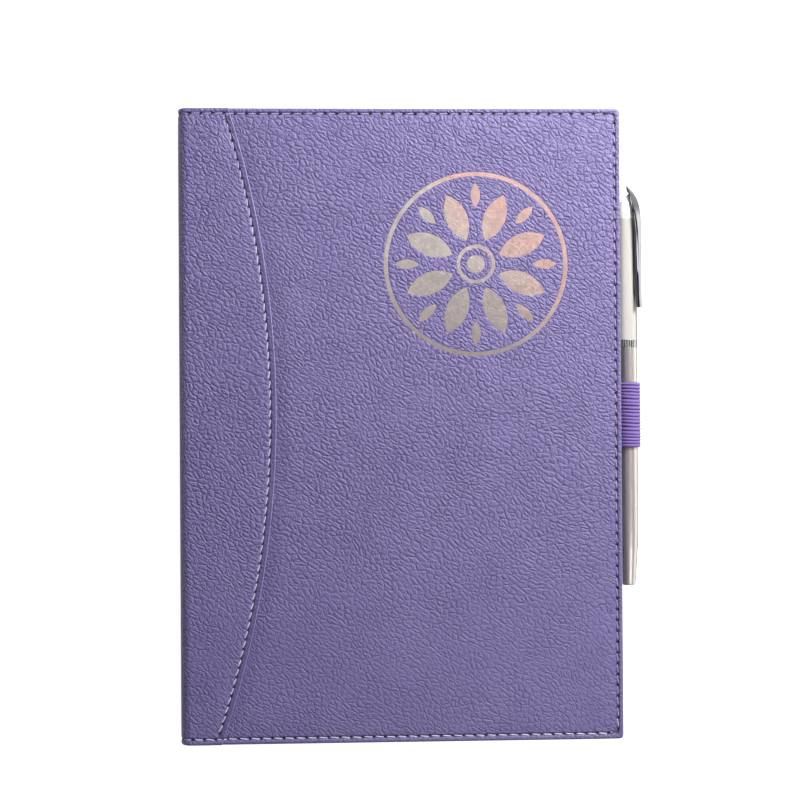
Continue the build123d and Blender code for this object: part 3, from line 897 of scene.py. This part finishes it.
def back_panel():
    inner = np.linspace(0, XR - 4.0, 196)[:-1]
    xs = np.concatenate([inner, XR - np.arange(4.0, -1e-6, -0.16)])
    x, y = np.meshgrid(xs, YB)
    x, y = round_corner(x, y)
    d = edge_distance(x, y)
    d[0], d[-1], d[:, -1] = 0, 0, 0
    holes = edge_holes(x, y, d)
    z = -(rim(d) - 0.13 * holes)
    m = Mesh("grain", "tone")
    nr, nc = x.shape
    # needle holes painted nearly black as shade, over the painted trench shade
    m.add(
        np.stack([x, y, z], -1),
        [grid(nr, nc, flip=True)],
        grain=0.30 + 0.70 * smooth01(d, 1.6, 3.4),
        tone=strip_tone(d) * (1 - 0.95 * holes),
    )
    loop = np.concatenate(
        [np.arange(nc), (np.arange(1, nr)) * nc + nc - 1, (nr - 1) * nc + np.arange(nc - 2, -1, -1)]
    )
    lx, ly, lz = x.ravel()[loop], y.ravel()[loop], z.ravel()[loop]
    rings = [np.stack([lx, ly, lz], -1)]
    for mm, zz in (
        (0.0, 1.3), (0.0, 2.0), (0.0, 2.65), (0.12, 2.98), (0.42, 3.15), (1.2, 3.17), (3.4, 3.17), (7.0, 3.17)
    ):
        px, py = inset(lx, ly, mm)
        rings.append(np.stack([px, py, np.full(len(px), zz)], -1))
    # the rolled wall and turn-in are painted a little darker as shade
    m.add(np.array(rings), [grid(len(rings), len(loop))], grain=0.5, tone=0.94)
    return m.make("back_panel_leather", LEATHER)


# ------------------------------------------------------------- the stitches
def stitch(a, b, side, up, sink, lift, slant, radius=0.25):
    """One thread from needle hole a to needle hole b."""
    a, b, side, up = (np.asarray(v, float) for v in (a, b, side, up))
    t = np.linspace(0.16, 0.90, 11)
    f = (t - t[0]) / (t[-1] - t[0])
    jit = rng.uniform(-0.05, 0.05, 2)
    lat = slant * np.cos(np.pi * f) + jit[0]
    h = -sink + (sink + lift) * np.minimum(smooth01(f, -0.02, 0.16), 1 - 0.75 * f ** 1.5) * smooth01(f, 1.0, 0.86)
    p = a + (b - a) * t[:, None] + side * lat[:, None] + up * h[:, None]
    r = radius * (0.80 + 0.20 * np.sin(np.pi * t)) * (1 + jit[1])
    return tube(p, r, 8, up)


def marks(lo, hi, pitch, s0):
    k0, k1 = math.ceil((lo - s0) / pitch), math.floor((hi - s0) / pitch)
    return [s0 + pitch * k for k in range(k0, k1 + 1)]


def cover_stitches(name, top):
    m = Mesh()
    up = (0, 0, 1) if top else (0, 0, -1)

    def level(x, y):
        if not top:
            return 0.42
        base = 17.0 if arc_depth(np.array(x), np.array(y)) > -0.2 else 16.4
        return base - 0.42

    ys = marks(-HY + 3.0, HY - 3.0, PITCH, HOLE_Y)
    x = XR - STITCH_D
    runs = [([(x, ya) for ya in ys], (1, 0, 0))]
    for s in (1, -1):
        xs = marks(0.3, XR - 3.0, PITCH_X, HOLE_X)
        runs.append(([(v, s * (HY - STITCH_D)) for v in xs], (0, -s, 0)))
        runs.append(([(xs[-1], s * (HY - STITCH_D)), (x, ys[-1] if s > 0 else ys[0])], (0.7, s * 0.7, 0)))
    for pts, side in runs:
        for (xa, ya), (xb, yb) in zip(pts, pts[1:]):
            za, zb = level(xa, ya), level(xb, yb)
            v, f = stitch((xa, ya, za), (xb, yb, zb), side, up, 0.12, 0.17, 0.10)
            m.add(v, f)
    return m.make(name, THREAD)


def seam_stitches():
    m = Mesh()
    r = ARC_R - 2.0
    th = [v / ARC_R for v in marks(-HY - ARC_Y, HY - ARC_Y, SEAM_PITCH, 0.7)]
    pts = [(ARC_X - ARC_R + r * math.cos(t), ARC_Y + r * math.sin(t), t) for t in th]
    pts = [p for p in pts if abs(p[1]) < HY - 3.2]
    z = 17.0 - 0.10 - 0.30
    for (xa, ya, ta), (xb, yb, tb) in zip(pts, pts[1:]):
        side = (math.cos(ta), math.sin(ta), 0)
        v, f = stitch((xa - 0.10, ya, z), (xb - 0.10, yb, z), side, (0, 0, 1), 0.10, 0.16, -0.17, 0.23)
        m.add(v, f)
    return m.make("seam_stitches", THREAD)


def spine_stitches():
    m = Mesh()
    for s in (1, -1):
        zs = marks(Z_LO + 0.2, Z_HI - 0.2, PITCH, 8.5)
        for za, zb in zip(zs, zs[1:]):
            y = s * (HY - STITCH_D)
            x = -FOLD_R + 0.42
            v, f = stitch((x, y, za), (x, y, zb), (0, 1, 0), (-1, 0, 0), 0.12, 0.17, 0.1)
            m.add(v, f)
    return m.make("spine_stitches", THREAD)


def fold_stitches(name, top):
    """Stitches that carry the cover's row round the fold to the spine's row."""
    m = Mesh()
    quarter = FOLD_R * np.pi / 2
    stops = [-HOLE_X, PITCH_X - HOLE_X, quarter + Z_HI - 12.2]
    for end in (1, -1):
        y = end * (HY - STITCH_D)
        for s0, s1 in zip(stops, stops[1:]):
            t = np.linspace(0.16, 0.90, 11)
            f = (t - t[0]) / (t[-1] - t[0])
            s = s0 + (s1 - s0) * t
            a = np.pi / 2 + np.clip(s / FOLD_R, 0, np.pi / 2)
            h = -0.54 + 0.29 * np.minimum(smooth01(f, -0.02, 0.16), 1 - 0.75 * f ** 1.5) * smooth01(f, 1.0, 0.86)
            x = (FOLD_R + h) * np.cos(a) + np.maximum(-s, 0)
            z = Z_HI + (FOLD_R + h) * np.sin(a) - np.maximum(s - quarter, 0)
            p = np.stack([x, y - end * 0.1 * np.cos(np.pi * f), z if top else 17.0 - z], -1)
            v, fc = tube(p, 0.22 * (0.80 + 0.20 * np.sin(np.pi * t)), 8, (-0.7, 0, 0.7 if top else -0.7))
            m.add(v, fc)
    return m.make(name, THREAD)


def foil_rosette():
    m = Mesh()

    def place(x, y, faces):
        d = edge_distance(x, y)
        z = panel_base(x, y, d) - 0.045
        m.add(np.stack([x, y, z], -1), faces)

    for r0, r1, nr in ((0.0, 3.0, 5), (5.4, 6.6, 4), (30.0, 31.4, 4)):
        n = 64 if r1 < 10 else 192
        a = np.linspace(0, 2 * np.pi, n, endpoint=False)
        r = np.linspace(max(r0, 0.02), r1, nr)
        x = FOIL_C[0] + r[:, None] * np.cos(a)[None]
        y = FOIL_C[1] + r[:, None] * np.sin(a)[None]
        place(x, y, [grid(nr, n, wrap=True)])
    for off, r0, r1, w, nu, nv in ((22.5, 8.6, 25.4, 7.4, 34, 9), (0.0, 19.4, 27.6, 3.2, 24, 7)):
        u = r0 + (r1 - r0) * (0.5 - 0.5 * np.cos(np.linspace(0, np.pi, nu)))
        h = petal_half(u, r0, r1, w)
        h = np.maximum(h, 0.01)
        v = np.linspace(-1, 1, nv)
        uu = np.broadcast_to(u[:, None], (nu, nv))
        vv = h[:, None] * v[None]
        for k in range(8):
            a = math.radians(45 * k + off)
            x = FOIL_C[0] + uu * math.cos(a) - vv * math.sin(a)
            y = FOIL_C[1] + uu * math.sin(a) + vv * math.cos(a)
            place(x, y, [grid(nu, nv)])
    return m.make("foil_rosette", FOIL)


def put(ob, body, slot, *nodes):
    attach(ob, body)
    if nodes:
        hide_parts(*nodes)
    return ob


panel = put(front_panel(), "front_cover", "case_skin", "front_panel_skin")
wrap = put(front_wrap(), "front_cover", "case_skin", "front_wrap_skin")
back = put(back_panel(), "back_cover", "case_skin", "back_skin")
put(spine_skin(), "spine", "case_skin", "spine_skin")

front_fold = fold_strip("front_fold_leather", Z_HI, True)
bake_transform(front_fold)
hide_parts("front_hinge_skin")
back_fold = fold_strip("back_fold_leather", Z_LO, False)
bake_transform(back_fold)
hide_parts("back_hinge_skin")
front_turn = fold_stitches("front_fold_stitches", True)
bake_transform(front_turn)
back_turn = fold_stitches("back_fold_stitches", False)
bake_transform(back_turn)

put(cover_stitches("front_stitches", True), "front_cover", "thread", "front_edge_thread")
put(cover_stitches("back_stitches", False), "back_cover", "thread", "back_edge_thread")
put(seam_stitches(), "front_cover", "thread", "arc_seam_thread")
put(spine_stitches(), "spine", "thread", "spine_edge_thread")
put(foil_rosette(), "front_cover", "foil", "foil_ornament")


# ------------------------------------------------------------------- leaves
LEAF_W, LH, STEP, DEPTH = 144.2, 105.0, 17.5, 8.0
NAMES = ["ab", "cd", "ef", "gh", "ij", "kl", "mn", "op", "qr", "st", "uv", "wz"]


def corner(cx, cy, r, a0, a1, n=6):
    a = np.radians(np.linspace(a0, a1, n))
    return [(cx + r * math.cos(t), cy + r * math.sin(t)) for t in a]


def outline(step):
    """Plan of a leaf: fore-edge cut back below its own index tab."""
    r, w, inner = 1.2, LEAF_W, LEAF_W - DEPTH
    pts = [(0.0, -LH)]
    if step is None or step >= 11:
        pts += corner(w - r, -LH + r, r, -90, 0)
    else:
        low = LH - STEP * (step + 1)
        pts += corner(inner - r, -LH + r, r, -90, 0)
        pts += corner(inner + 2.0, low - 2.0, 2.0, 180, 90)
        pts += corner(w - r, low + r, r, -90, 0)
    pts += corner(w - r, LH - r, r, 0, 90)
    pts += [(0.0, LH)]
    return np.array(pts)


def leaf_stack(name, node, step, mats, thick=0.105):
    lo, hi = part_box(node)
    z0, z1 = lo.z * 1000, hi.z * 1000
    n = max(1, round((z1 - z0) / thick))
    t = (z1 - z0) / n
    o = outline(step)
    k = len(o)
    m = Mesh()
    i = np.arange(k)
    j = (i + 1) % k
    for q in range(n):
        dx, dy = rng.normal(0, 0.05, 2)
        p = o + np.where(o[:, :1] > 1, [[np.clip(dx, -0.12, 0.08), 0]], [[0, 0]])
        p = p + [[0, np.clip(dy, -0.1, 0.1)]]
        a, b = z0 + t * q + 0.04 * t, z0 + t * (q + 1) - 0.04 * t
        v = np.concatenate([np.c_[p, np.full(k, a)], np.c_[p, np.full(k, b)]])
        base = m.add(v, [], 0)
        m.f += [i[None, ::-1] + base, i[None, :] + k + base]
        m.m += [np.zeros(1), np.zeros(1)]
        m.f.append(np.stack([i, j, j + k, i + k], -1) + base)
        m.m.append(np.ones(k))
    return m.make(name, mats, smooth=False)


def letters(name, text, x, y, z):
    cu = bpy.data.curves.new(name, "FONT")
    cu.body = text
    cu.size = 4.6
    cu.align_x = "CENTER"
    cu.align_y = "CENTER"
    cu.resolution_u = 4
    tmp = bpy.data.objects.new(name + "_curve", cu)
    bpy.context.scene.collection.objects.link(tmp)
    bpy.context.view_layer.update()
    me = bpy.data.meshes.new_from_object(tmp.evaluated_get(bpy.context.evaluated_depsgraph_get()))
    v = np.zeros(len(me.vertices) * 3)
    me.vertices.foreach_get("co", v)
    v = v.reshape(-1, 3)
    faces = [np.array([list(p.vertices)]) for p in me.polygons]
    bpy.data.objects.remove(tmp)
    bpy.data.meshes.remove(me)
    # placed at the tab as they are set, not turned
    out = np.stack([x - v[:, 1] * 0 + v[:, 0], y + v[:, 1], np.full(len(v), z)], -1)
    return build(name, out, faces, INK, smooth=False)


for s, nm in enumerate(NAMES):
    node = "pages_" + nm
    body = "front_pages" if s < 6 else "back_cover"
    put(leaf_stack("leaves_" + nm, node, s, [PAPER_RULED, PAPER_EDGE]), body, "paper", node)
    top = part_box(node)[1].z * 1000
    if nm == "mn":
        continue
    put(
        letters("index_" + nm, nm.upper(), 140.4, LH - STEP * (s + 0.5), top + 0.006),
        body,
        "paper",
    )
put(
    leaf_stack("birthday_leaves", "birthday_pages", None, [PAPER_RULED, PAPER_EDGE]),
    "back_cover",
    "paper",
    "birthday_pages",
)
put(
    leaf_stack("front_flyleaf_sheet", "front_flyleaf", None, [END_LEAF, PAPER_EDGE], 0.2),
    "front_pages",
    "endpaper",
    "front_flyleaf",
)
put(
    leaf_stack("back_flyleaf_sheet", "back_flyleaf", None, [END_LEAF, PAPER_EDGE], 0.2),
    "back_cover",
    "endpaper",
    "back_flyleaf",
)


def loose_leaf(name, node, step):
    """A single leaf with enough points along it to curve up from the gutter."""
    lo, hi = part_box(node)
    z0, z1 = lo.z * 1000 + 0.02, hi.z * 1000 - 0.02
    low = LH - STEP * (step + 1)
    m = Mesh()

    def slab(xs, ys):
        x, y = np.meshgrid(xs, ys)
        nr, nc = x.shape
        top = np.stack([x, y, np.full(x.shape, z1)], -1)
        bot = np.stack([x, y, np.full(x.shape, z0)], -1)
        m.add(top, [grid(nr, nc)], 0)
        m.add(bot, [grid(nr, nc, flip=True)], 0)
        for a, b in ((top[0], bot[0]), (bot[-1], top[-1]), (bot[:, 0], top[:, 0]), (top[:, -1], bot[:, -1])):
            m.add(np.array([b, a]), [grid(2, len(a))], 1)

    inner = LEAF_W - DEPTH
    slab(np.linspace(0, inner, 70), np.concatenate([np.linspace(-LH, low, 6), np.linspace(low, LH, 6)[1:]]))
    slab(np.linspace(inner, LEAF_W, 6), np.linspace(low, LH, 6))
    return m.make(name, [PAPER_RULED, PAPER_EDGE])


leaf = loose_leaf("kl_loose_sheet", "kl_loose_leaf", 5)
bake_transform(leaf)
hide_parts("kl_loose_leaf")
leaf = loose_leaf("mn_loose_sheet", "mn_loose_leaf", 6)
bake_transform(leaf)
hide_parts("mn_loose_leaf")
mn_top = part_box("mn_loose_leaf")[1].z * 1000
put(letters("index_mn", "MN", 140.4, LH - STEP * 6.5, mn_top - 0.012), "mn_leaf", "paper")


# ----------------------------------------------------------------- pen loop
def pen_loop():
    r_out, r_in, y0, y1 = 4.45, 3.50, -8.4, 14.15
    root, tz0, tz1 = 147.8, 1.6, 2.75

    def tangent(pz, sign):
        dx, dz = root - PEN_X, pz - PEN_Z
        return math.atan2(dz, dx) + sign * math.acos(r_out / math.hypot(dx, dz))

    a0, a1 = tangent(tz0, 1), tangent(tz1, -1)
    while a1 < a0 + math.pi:
        a1 += 2 * math.pi
    arc = np.linspace(a0, a1, 73)
    ring = np.stack([PEN_X + r_out * np.cos(arc), PEN_Z + r_out * np.sin(arc)], -1)
    hole = np.stack([PEN_X + r_in * np.cos(arc), PEN_Z + r_in * np.sin(arc)], -1)
    low = np.array([(144.0, tz0), (146.0, tz0), (root, tz0)])
    high = np.array([(root, tz1), (146.0, tz1), (144.0, tz1)])
    mid = (tz0 + tz1) / 2

    def lead(p, q, n):
        t = np.linspace(0, 1, n + 2)[1:-1, None]
        return p + (q - p) * t

    lo_lead, hi_lead = lead(low[-1], ring[0], 6), lead(ring[-1], high[0], 6)
    outer = np.concatenate([low, lo_lead, ring, hi_lead, high])
    core_pt = np.array([root, mid])
    inner = np.concatenate(
        [
            [(144.0, mid), (146.0, mid), (root, mid)],
            lead(core_pt, hole[0], 6),
            hole,
            lead(hole[-1], core_pt, 6),
            [(root, mid), (146.0, mid), (144.0, mid)],
        ]
    )
    tan = np.gradient(outer, axis=0)
    tan /= np.linalg.norm(tan, axis=1)[:, None]
    nrm = np.stack([tan[:, 1], -tan[:, 0]], -1)
    length = np.concatenate([[0], np.cumsum(np.linalg.norm(np.diff(outer, axis=0), axis=1))])
    # ribs of slightly uneven width that lean a little round the pen
    ribs = 19
    wid = 1 + rng.uniform(-0.16, 0.16, ribs)
    cut = y0 + (y1 - y0) * np.concatenate([[0], np.cumsum(wid)]) / wid.sum()
    per = 8
    ys, prof = [], []
    for a, b in zip(cut, cut[1:]):
        t = np.linspace(0, 1, per, endpoint=False)
        ys.append(a + (b - a) * t)
        prof.append(np.sin(np.pi * t) ** 0.6)
    ys = np.concatenate(ys + [[y1]])
    prof = np.concatenate(prof + [[0.0]])
    ny, ns = len(ys), len(outer)
    wob = np.cumsum(rng.normal(0, 0.012, (ribs + 1, ns)), axis=1)
    wob = np.repeat(wob[:ribs], per, axis=0)
    wob = np.concatenate([wob, wob[-1:]])
    lean = 0.035 * (length - length[ns // 2])[None]
    body = smooth01(np.minimum(ys - y0, y1 - ys), 0, 1.2)[:, None]
    y = ys[:, None] + (lean + wob) * body
    r = -0.34 * (1 - prof)[:, None] - 0.12 * (1 - smooth01(np.minimum(ys - y0, y1 - ys), 0, 0.8))[:, None]
    r = np.broadcast_to(r, (ny, ns))
    v = np.stack([outer[None, :, 0] + nrm[None, :, 0] * r, y, outer[None, :, 1] + nrm[None, :, 1] * r], -1)
    m = Mesh("rib")
    m.add(v, [grid(ny, ns)], rib=np.broadcast_to(prof[:, None], (ny, ns)))
    ni = 24
    yi = np.linspace(y0 + 0.05, y1 - 0.05, ni)
    hv = np.stack(
        [
            np.broadcast_to(hole[None, :, 0], (ni, len(hole))),
            np.broadcast_to(yi[:, None], (ni, len(hole))),
            np.broadcast_to(hole[None, :, 1], (ni, len(hole))),
        ],
        -1,
    )
    # the inside of the loop and its end faces take a low rib value: painted darker than the rib tops as shade
    m.add(hv, [grid(ni, len(hole), flip=True)], rib=0.5)
    for k, row, yy in ((0, 0, y0 + 0.05), (1, -1, y1 - 0.05)):
        iv = np.stack([inner[:, 0], np.full(ns, yy), inner[:, 1]], -1)
        m.add(np.array([v[row], iv]), [grid(2, ns, flip=(k == 1))], rib=0.35)
    return m.make("elastic_pen_loop", ELASTIC)


put(pen_loop(), "back_cover", "elastic", "pen_loop")


# ---------------------------------------------------------------- pen clip
CLIP_TURN = math.radians(42.0)
CLIP_OUTER = [
    (0.0, 82.8), (0.86, 81.8), (1.91, 80.5), (2.77, 79.0), (3.44, 77.2), (4.0, 75.1),
    (4.6, 71.7), (5.02, 66.1), (5.12, 58.1), (5.14, 50.1), (5.26, 44.1), (5.5, 40.1),
]
CLIP_INNER = [
    (4.75, 39.9), (4.2, 43.7), (3.52, 47.8), (4.05, 52.1), (4.2, 58.1), (4.12, 66.1),
    (3.76, 71.5), (3.2, 74.7), (2.66, 76.6), (2.05, 78.2), (1.25, 79.6), (0.35, 80.6),
]
CLIP_HALF = [
    (0.2, 83.0), (0.8, 81.7), (1.5, 80.5), (2.0, 78.9), (2.35, 77.1), (2.45, 75.1),
    (2.3, 71.7), (2.05, 66.1), (1.72, 56.1), (1.42, 47.8), (1.45, 43.1), (1.5, 39.7),
]


def through(points, n):
    """Smooth curve through points, n steps per span."""
    p = np.array(points, float)
    p = np.concatenate([2 * p[:1] - p[1:2], p, 2 * p[-1:] - p[-2:-1]])
    d = np.linalg.norm(np.diff(p, axis=0), axis=1) ** 0.5
    out = []
    for i in range(1, len(p) - 2):
        d0, d1, d2 = d[i - 1], d[i], d[i + 1]
        m1 = (p[i] - p[i - 1]) / d0 - (p[i + 1] - p[i - 1]) / (d0 + d1) + (p[i + 1] - p[i]) / d1
        m2 = (p[i + 1] - p[i]) / d1 - (p[i + 2] - p[i]) / (d1 + d2) + (p[i + 2] - p[i + 1]) / d2
        t = np.linspace(0, 1, n, endpoint=False)[:, None]
        out.append(
            (2 * t**3 - 3 * t**2 + 1) * p[i] + (t**3 - 2 * t**2 + t) * m1 * d1
            + (-2 * t**3 + 3 * t**2) * p[i + 1] + (t**3 - t**2) * m2 * d1
        )
    return np.concatenate(out + [p[-2:-1]])


def along(points, n):
    """Curve through points, resampled to n evenly spaced points."""
    c = through(points, 24)
    q = np.concatenate([[0], np.cumsum(np.linalg.norm(np.diff(c, axis=0), axis=1))])
    t = np.linspace(0, q[-1], n)
    return np.stack([np.interp(t, q, c[:, k]) for k in range(2)], -1)


def pen_clip():
    """Bow that rises from the cap's tip into a bevelled arm with a bead on its inside."""
    n = 150
    line = along(CLIP_OUTER, n)
    under = along(CLIP_INNER[::-1], n)
    half = through(CLIP_HALF, 10)
    h = np.interp(-line[:, 1], -half[:, 1], half[:, 0])
    reach = under - line
    thick = np.linalg.norm(reach, axis=1)
    q = reach / thick[:, None]
    # section, from one edge over the bevel to the other and back along the inside
    v = np.concatenate([np.linspace(-1, 1, 25), np.linspace(0.96, -0.96, 13)])
    top = np.arange(len(v)) < 25
    bevel = 0.46 * h[:, None] * np.logaddexp(0, 14 * (v[None] - 0.26)) / 14
    edge = 0.22 * smooth01(np.abs(v), 0.80, 1.0)[None] ** 2
    drop = np.where(
        top[None],
        np.minimum(bevel + edge, 0.8 * thick[:, None]),
        thick[:, None] * (1 - 0.08 * np.abs(v)[None] ** 2),
    )
    rho = line[:, :1] + q[:, :1] * drop
    yy = line[:, 1:] + q[:, 1:] * drop
    wz = h[:, None] * v[None]
    c, s = math.cos(CLIP_TURN), math.sin(CLIP_TURN)

    def place(r, q, w):
        return np.stack([PEN_X + r * c - w * s, q, PEN_Z + r * s + w * c], -1)

    pts = place(rho, yy, wz)
    nr, nc = rho.shape
    m = Mesh("tone")
    # tone paints the clip: the bow darkened as a painted dark reflection, painted highlight streaks across it, painted
    # shade along one edge of the arm
    horn = smooth01(line[:, 1], 70.6, 75.8)[:, None]
    streak = 0.16 * np.exp(-(((v - 0.55) / 0.16) ** 2)) + 0.10 * np.exp(-(((v + 0.05) / 0.2) ** 2))
    streak = streak + 0.14 * smooth01(-v, 0.45, 0.95)
    tone = 1 - horn * (0.86 - streak[None]) - (1 - horn) * 0.2 * smooth01(-v, 0.7, 1.0)[None]
    # the inside faces get a half-dark painted shade
    tone = np.where(top[None], tone, 0.5)
    m.add(pts, [grid(nr, nc, wrap=True, flip=True)], tone=tone)
    for row, flip in ((0, True), (nr - 1, False)):
        mid = pts[row].mean(axis=0)
        k = np.arange(nc)
        f = np.stack([k, (k + 1) % nc, np.full(nc, nc)], -1)
        m.add(np.concatenate([pts[row], mid[None]]), [f[:, ::-1] if flip else f])
    # foot that stands in the cap's slot and runs up into the bow
    a = np.linspace(0, 2 * np.pi, 24, endpoint=False)
    sx = np.sign(np.cos(a)) * np.abs(np.cos(a)) ** 0.35
    sz = np.sign(np.sin(a)) * np.abs(np.sin(a)) ** 0.35
    ys = np.array([76.72, 76.85, 77.6, 78.3, 78.9, 79.4, 79.8])[:, None]
    lean = np.array([0, 0, 0.08, 0.32, 0.72, 1.15, 1.6])[:, None]
    k = np.array([0.8, 1.0, 1.0, 1.0, 1.0, 0.95, 0.8])[:, None]
    tilt = np.array([0, 0, 0, 0.3, 0.6, 0.8, 1.0])[:, None]
    ring = place(
        lean + 0.34 * k * sx[None],
        ys - 0.30 * tilt * sx[None],
        k * 0.98 * sz[None] * np.array([1, 1, 1, 0.8, 0.62, 0.52, 0.5])[:, None],
    )
    m.add(ring, [grid(7, 24, wrap=True)])
    m.add(ring[0], [np.arange(24)[None]])
    return m.make("pen_clip_bow", CHROME_CLIP)


# ---------------------------------------------------- pieces from the CAD
CARD = plain_mat("greyboard", (122, 116, 108), (146, 140, 131), 1.4, (0.85, 0.95), 0.00005)
FOAM = plain_mat("foam", (222, 219, 208), (236, 234, 226), 2.2, (0.9, 1.0), 0.0001)
CLOTH = weave_mat("block_lining")
UPPER = upper_mat()
LOWER = lower_mat()
CAP = metal_mat("pen_cap_satin", (230, 228, 225), (236, 234, 231), (0.26, 0.32), 0.2, streak=(0.6, 0.2, 0.6))
CHROME_CLIP = clip_mat()
RING = ring_mat()
put(pen_clip(), "pen_clip", "pen_chrome", "pen_clip")
BRASS = metal_mat("pen_mechanism", (196, 166, 98), (208, 180, 112), (0.28, 0.40))
STEEL = metal_mat("refill", (176, 176, 174), (190, 190, 188), (0.25, 0.38), streak=(3.0, 0.2, 3.0))
LOOKS = {
    "front_board": CARD, "back_board": CARD, "spine_board": CARD,
    "front_foam": FOAM, "back_foam": FOAM,
    "front_pastedown": END_CAD, "back_pastedown": END_CAD, "spine_lining": END_CAD,
    "front_block_lining": CLOTH, "rear_block_lining": CLOTH,
    "pen_upper_barrel": UPPER, "pen_lower_barrel": LOWER,
    "pen_centre_ring": RING, "pen_cap": CAP,
    "pen_twist_sleeve": BRASS, "pen_refill_carrier": BRASS,
    "pen_refill_tube": STEEL, "pen_refill_tip": STEEL,
}
for node, mat in LOOKS.items():
    o = NODES[node]
    o.data.materials.clear()
    o.data.materials.append(mat)

# ------------------------------------------------------------ floor, light
me = bpy.data.meshes.new("floor")
me.from_pydata([(-3, -3, 0), (3, -3, 0), (3, 3, 0), (-3, 3, 0)], [], [(0, 1, 2, 3)])
fm = Mat("floor")
fc = fm.obj_mm()
me.materials.append(
    fm.set(
        Base_Color=fm.mix(fm.span(fm.noise(fc, 0.004, 2.0), 0.3, 0.7), (0.40, 0.40, 0.40, 1), (0.44, 0.44, 0.44, 1)),
        Roughness=0.9,
        Specular_IOR_Level=0.1,
        Emission_Color=(1.0, 1.0, 1.0, 1.0),
        Emission_Strength=0.92,
    )
)
floor = bpy.data.objects.new("floor", me)
floor.location = (0, 0, -0.0002)
bpy.context.scene.collection.objects.link(floor)


def area(name, loc, target, size, power, color=(1, 1, 1), deep=None):
    li = bpy.data.lights.new(name, "AREA")
    li.shape = "SQUARE" if deep is None else "RECTANGLE"
    li.size = size
    if deep is not None:
        li.size_y = deep
    li.energy = power
    li.color = color
    ob = bpy.data.objects.new(name, li)
    ob.location = loc
    from mathutils import Vector

    ob.rotation_euler = (Vector(target) - Vector(loc)).to_track_quat("-Z", "Y").to_euler()
    bpy.context.scene.collection.objects.link(ob)
    return ob


area("key", (0.28, 0.36, 0.26), (0, 0, 0.01), 0.2, 7.3)
area("head_box", (-0.05, 0.36, 0.30), (0, 0, 0.01), 0.3, 0.7)
area("fill", (0.2, -0.3, 0.4), (0, 0, 0.01), 0.3, 1.2)
area("side_strip", (0.43, -0.02, 0.095), (0.075, -0.02, 0.01), 0.45, 0.24, deep=0.07)
world = bpy.data.worlds.new("studio")
world.use_nodes = True
wt = world.node_tree
bg = wt.nodes["Background"]
bg.inputs["Color"].default_value = (0.95, 0.97, 1.0, 1)
# dim near the horizon, brighter overhead
way = wt.nodes.new("ShaderNodeTexCoord")
sep = wt.nodes.new("ShaderNodeSeparateXYZ")
ramp = wt.nodes.new("ShaderNodeMapRange")
ramp.interpolation_type = "SMOOTHSTEP"
for key, val in (("From Min", 0.70), ("From Max", 0.95), ("To Min", 0.025), ("To Max", 0.30)):
    ramp.inputs[key].default_value = val
wt.links.new(way.outputs["Generated"], sep.inputs[0])
wt.links.new(sep.outputs[2], ramp.inputs["Value"])
wt.links.new(ramp.outputs["Result"], bg.inputs["Strength"])
bpy.context.scene.world = world
bpy.context.scene.view_settings.view_transform = "Standard"

cd = bpy.data.cameras.new("camera")
cd.lens = 59.0
cd.sensor_width = 36.0
cam = bpy.data.objects.new("camera", cd)
cam.location = (-0.020836, 0.006606, 0.462175)
cam.rotation_euler = (math.radians(0.2554), math.radians(-2.0489), math.radians(-0.364))
bpy.context.scene.collection.objects.link(cam)
bpy.context.scene.camera = cam
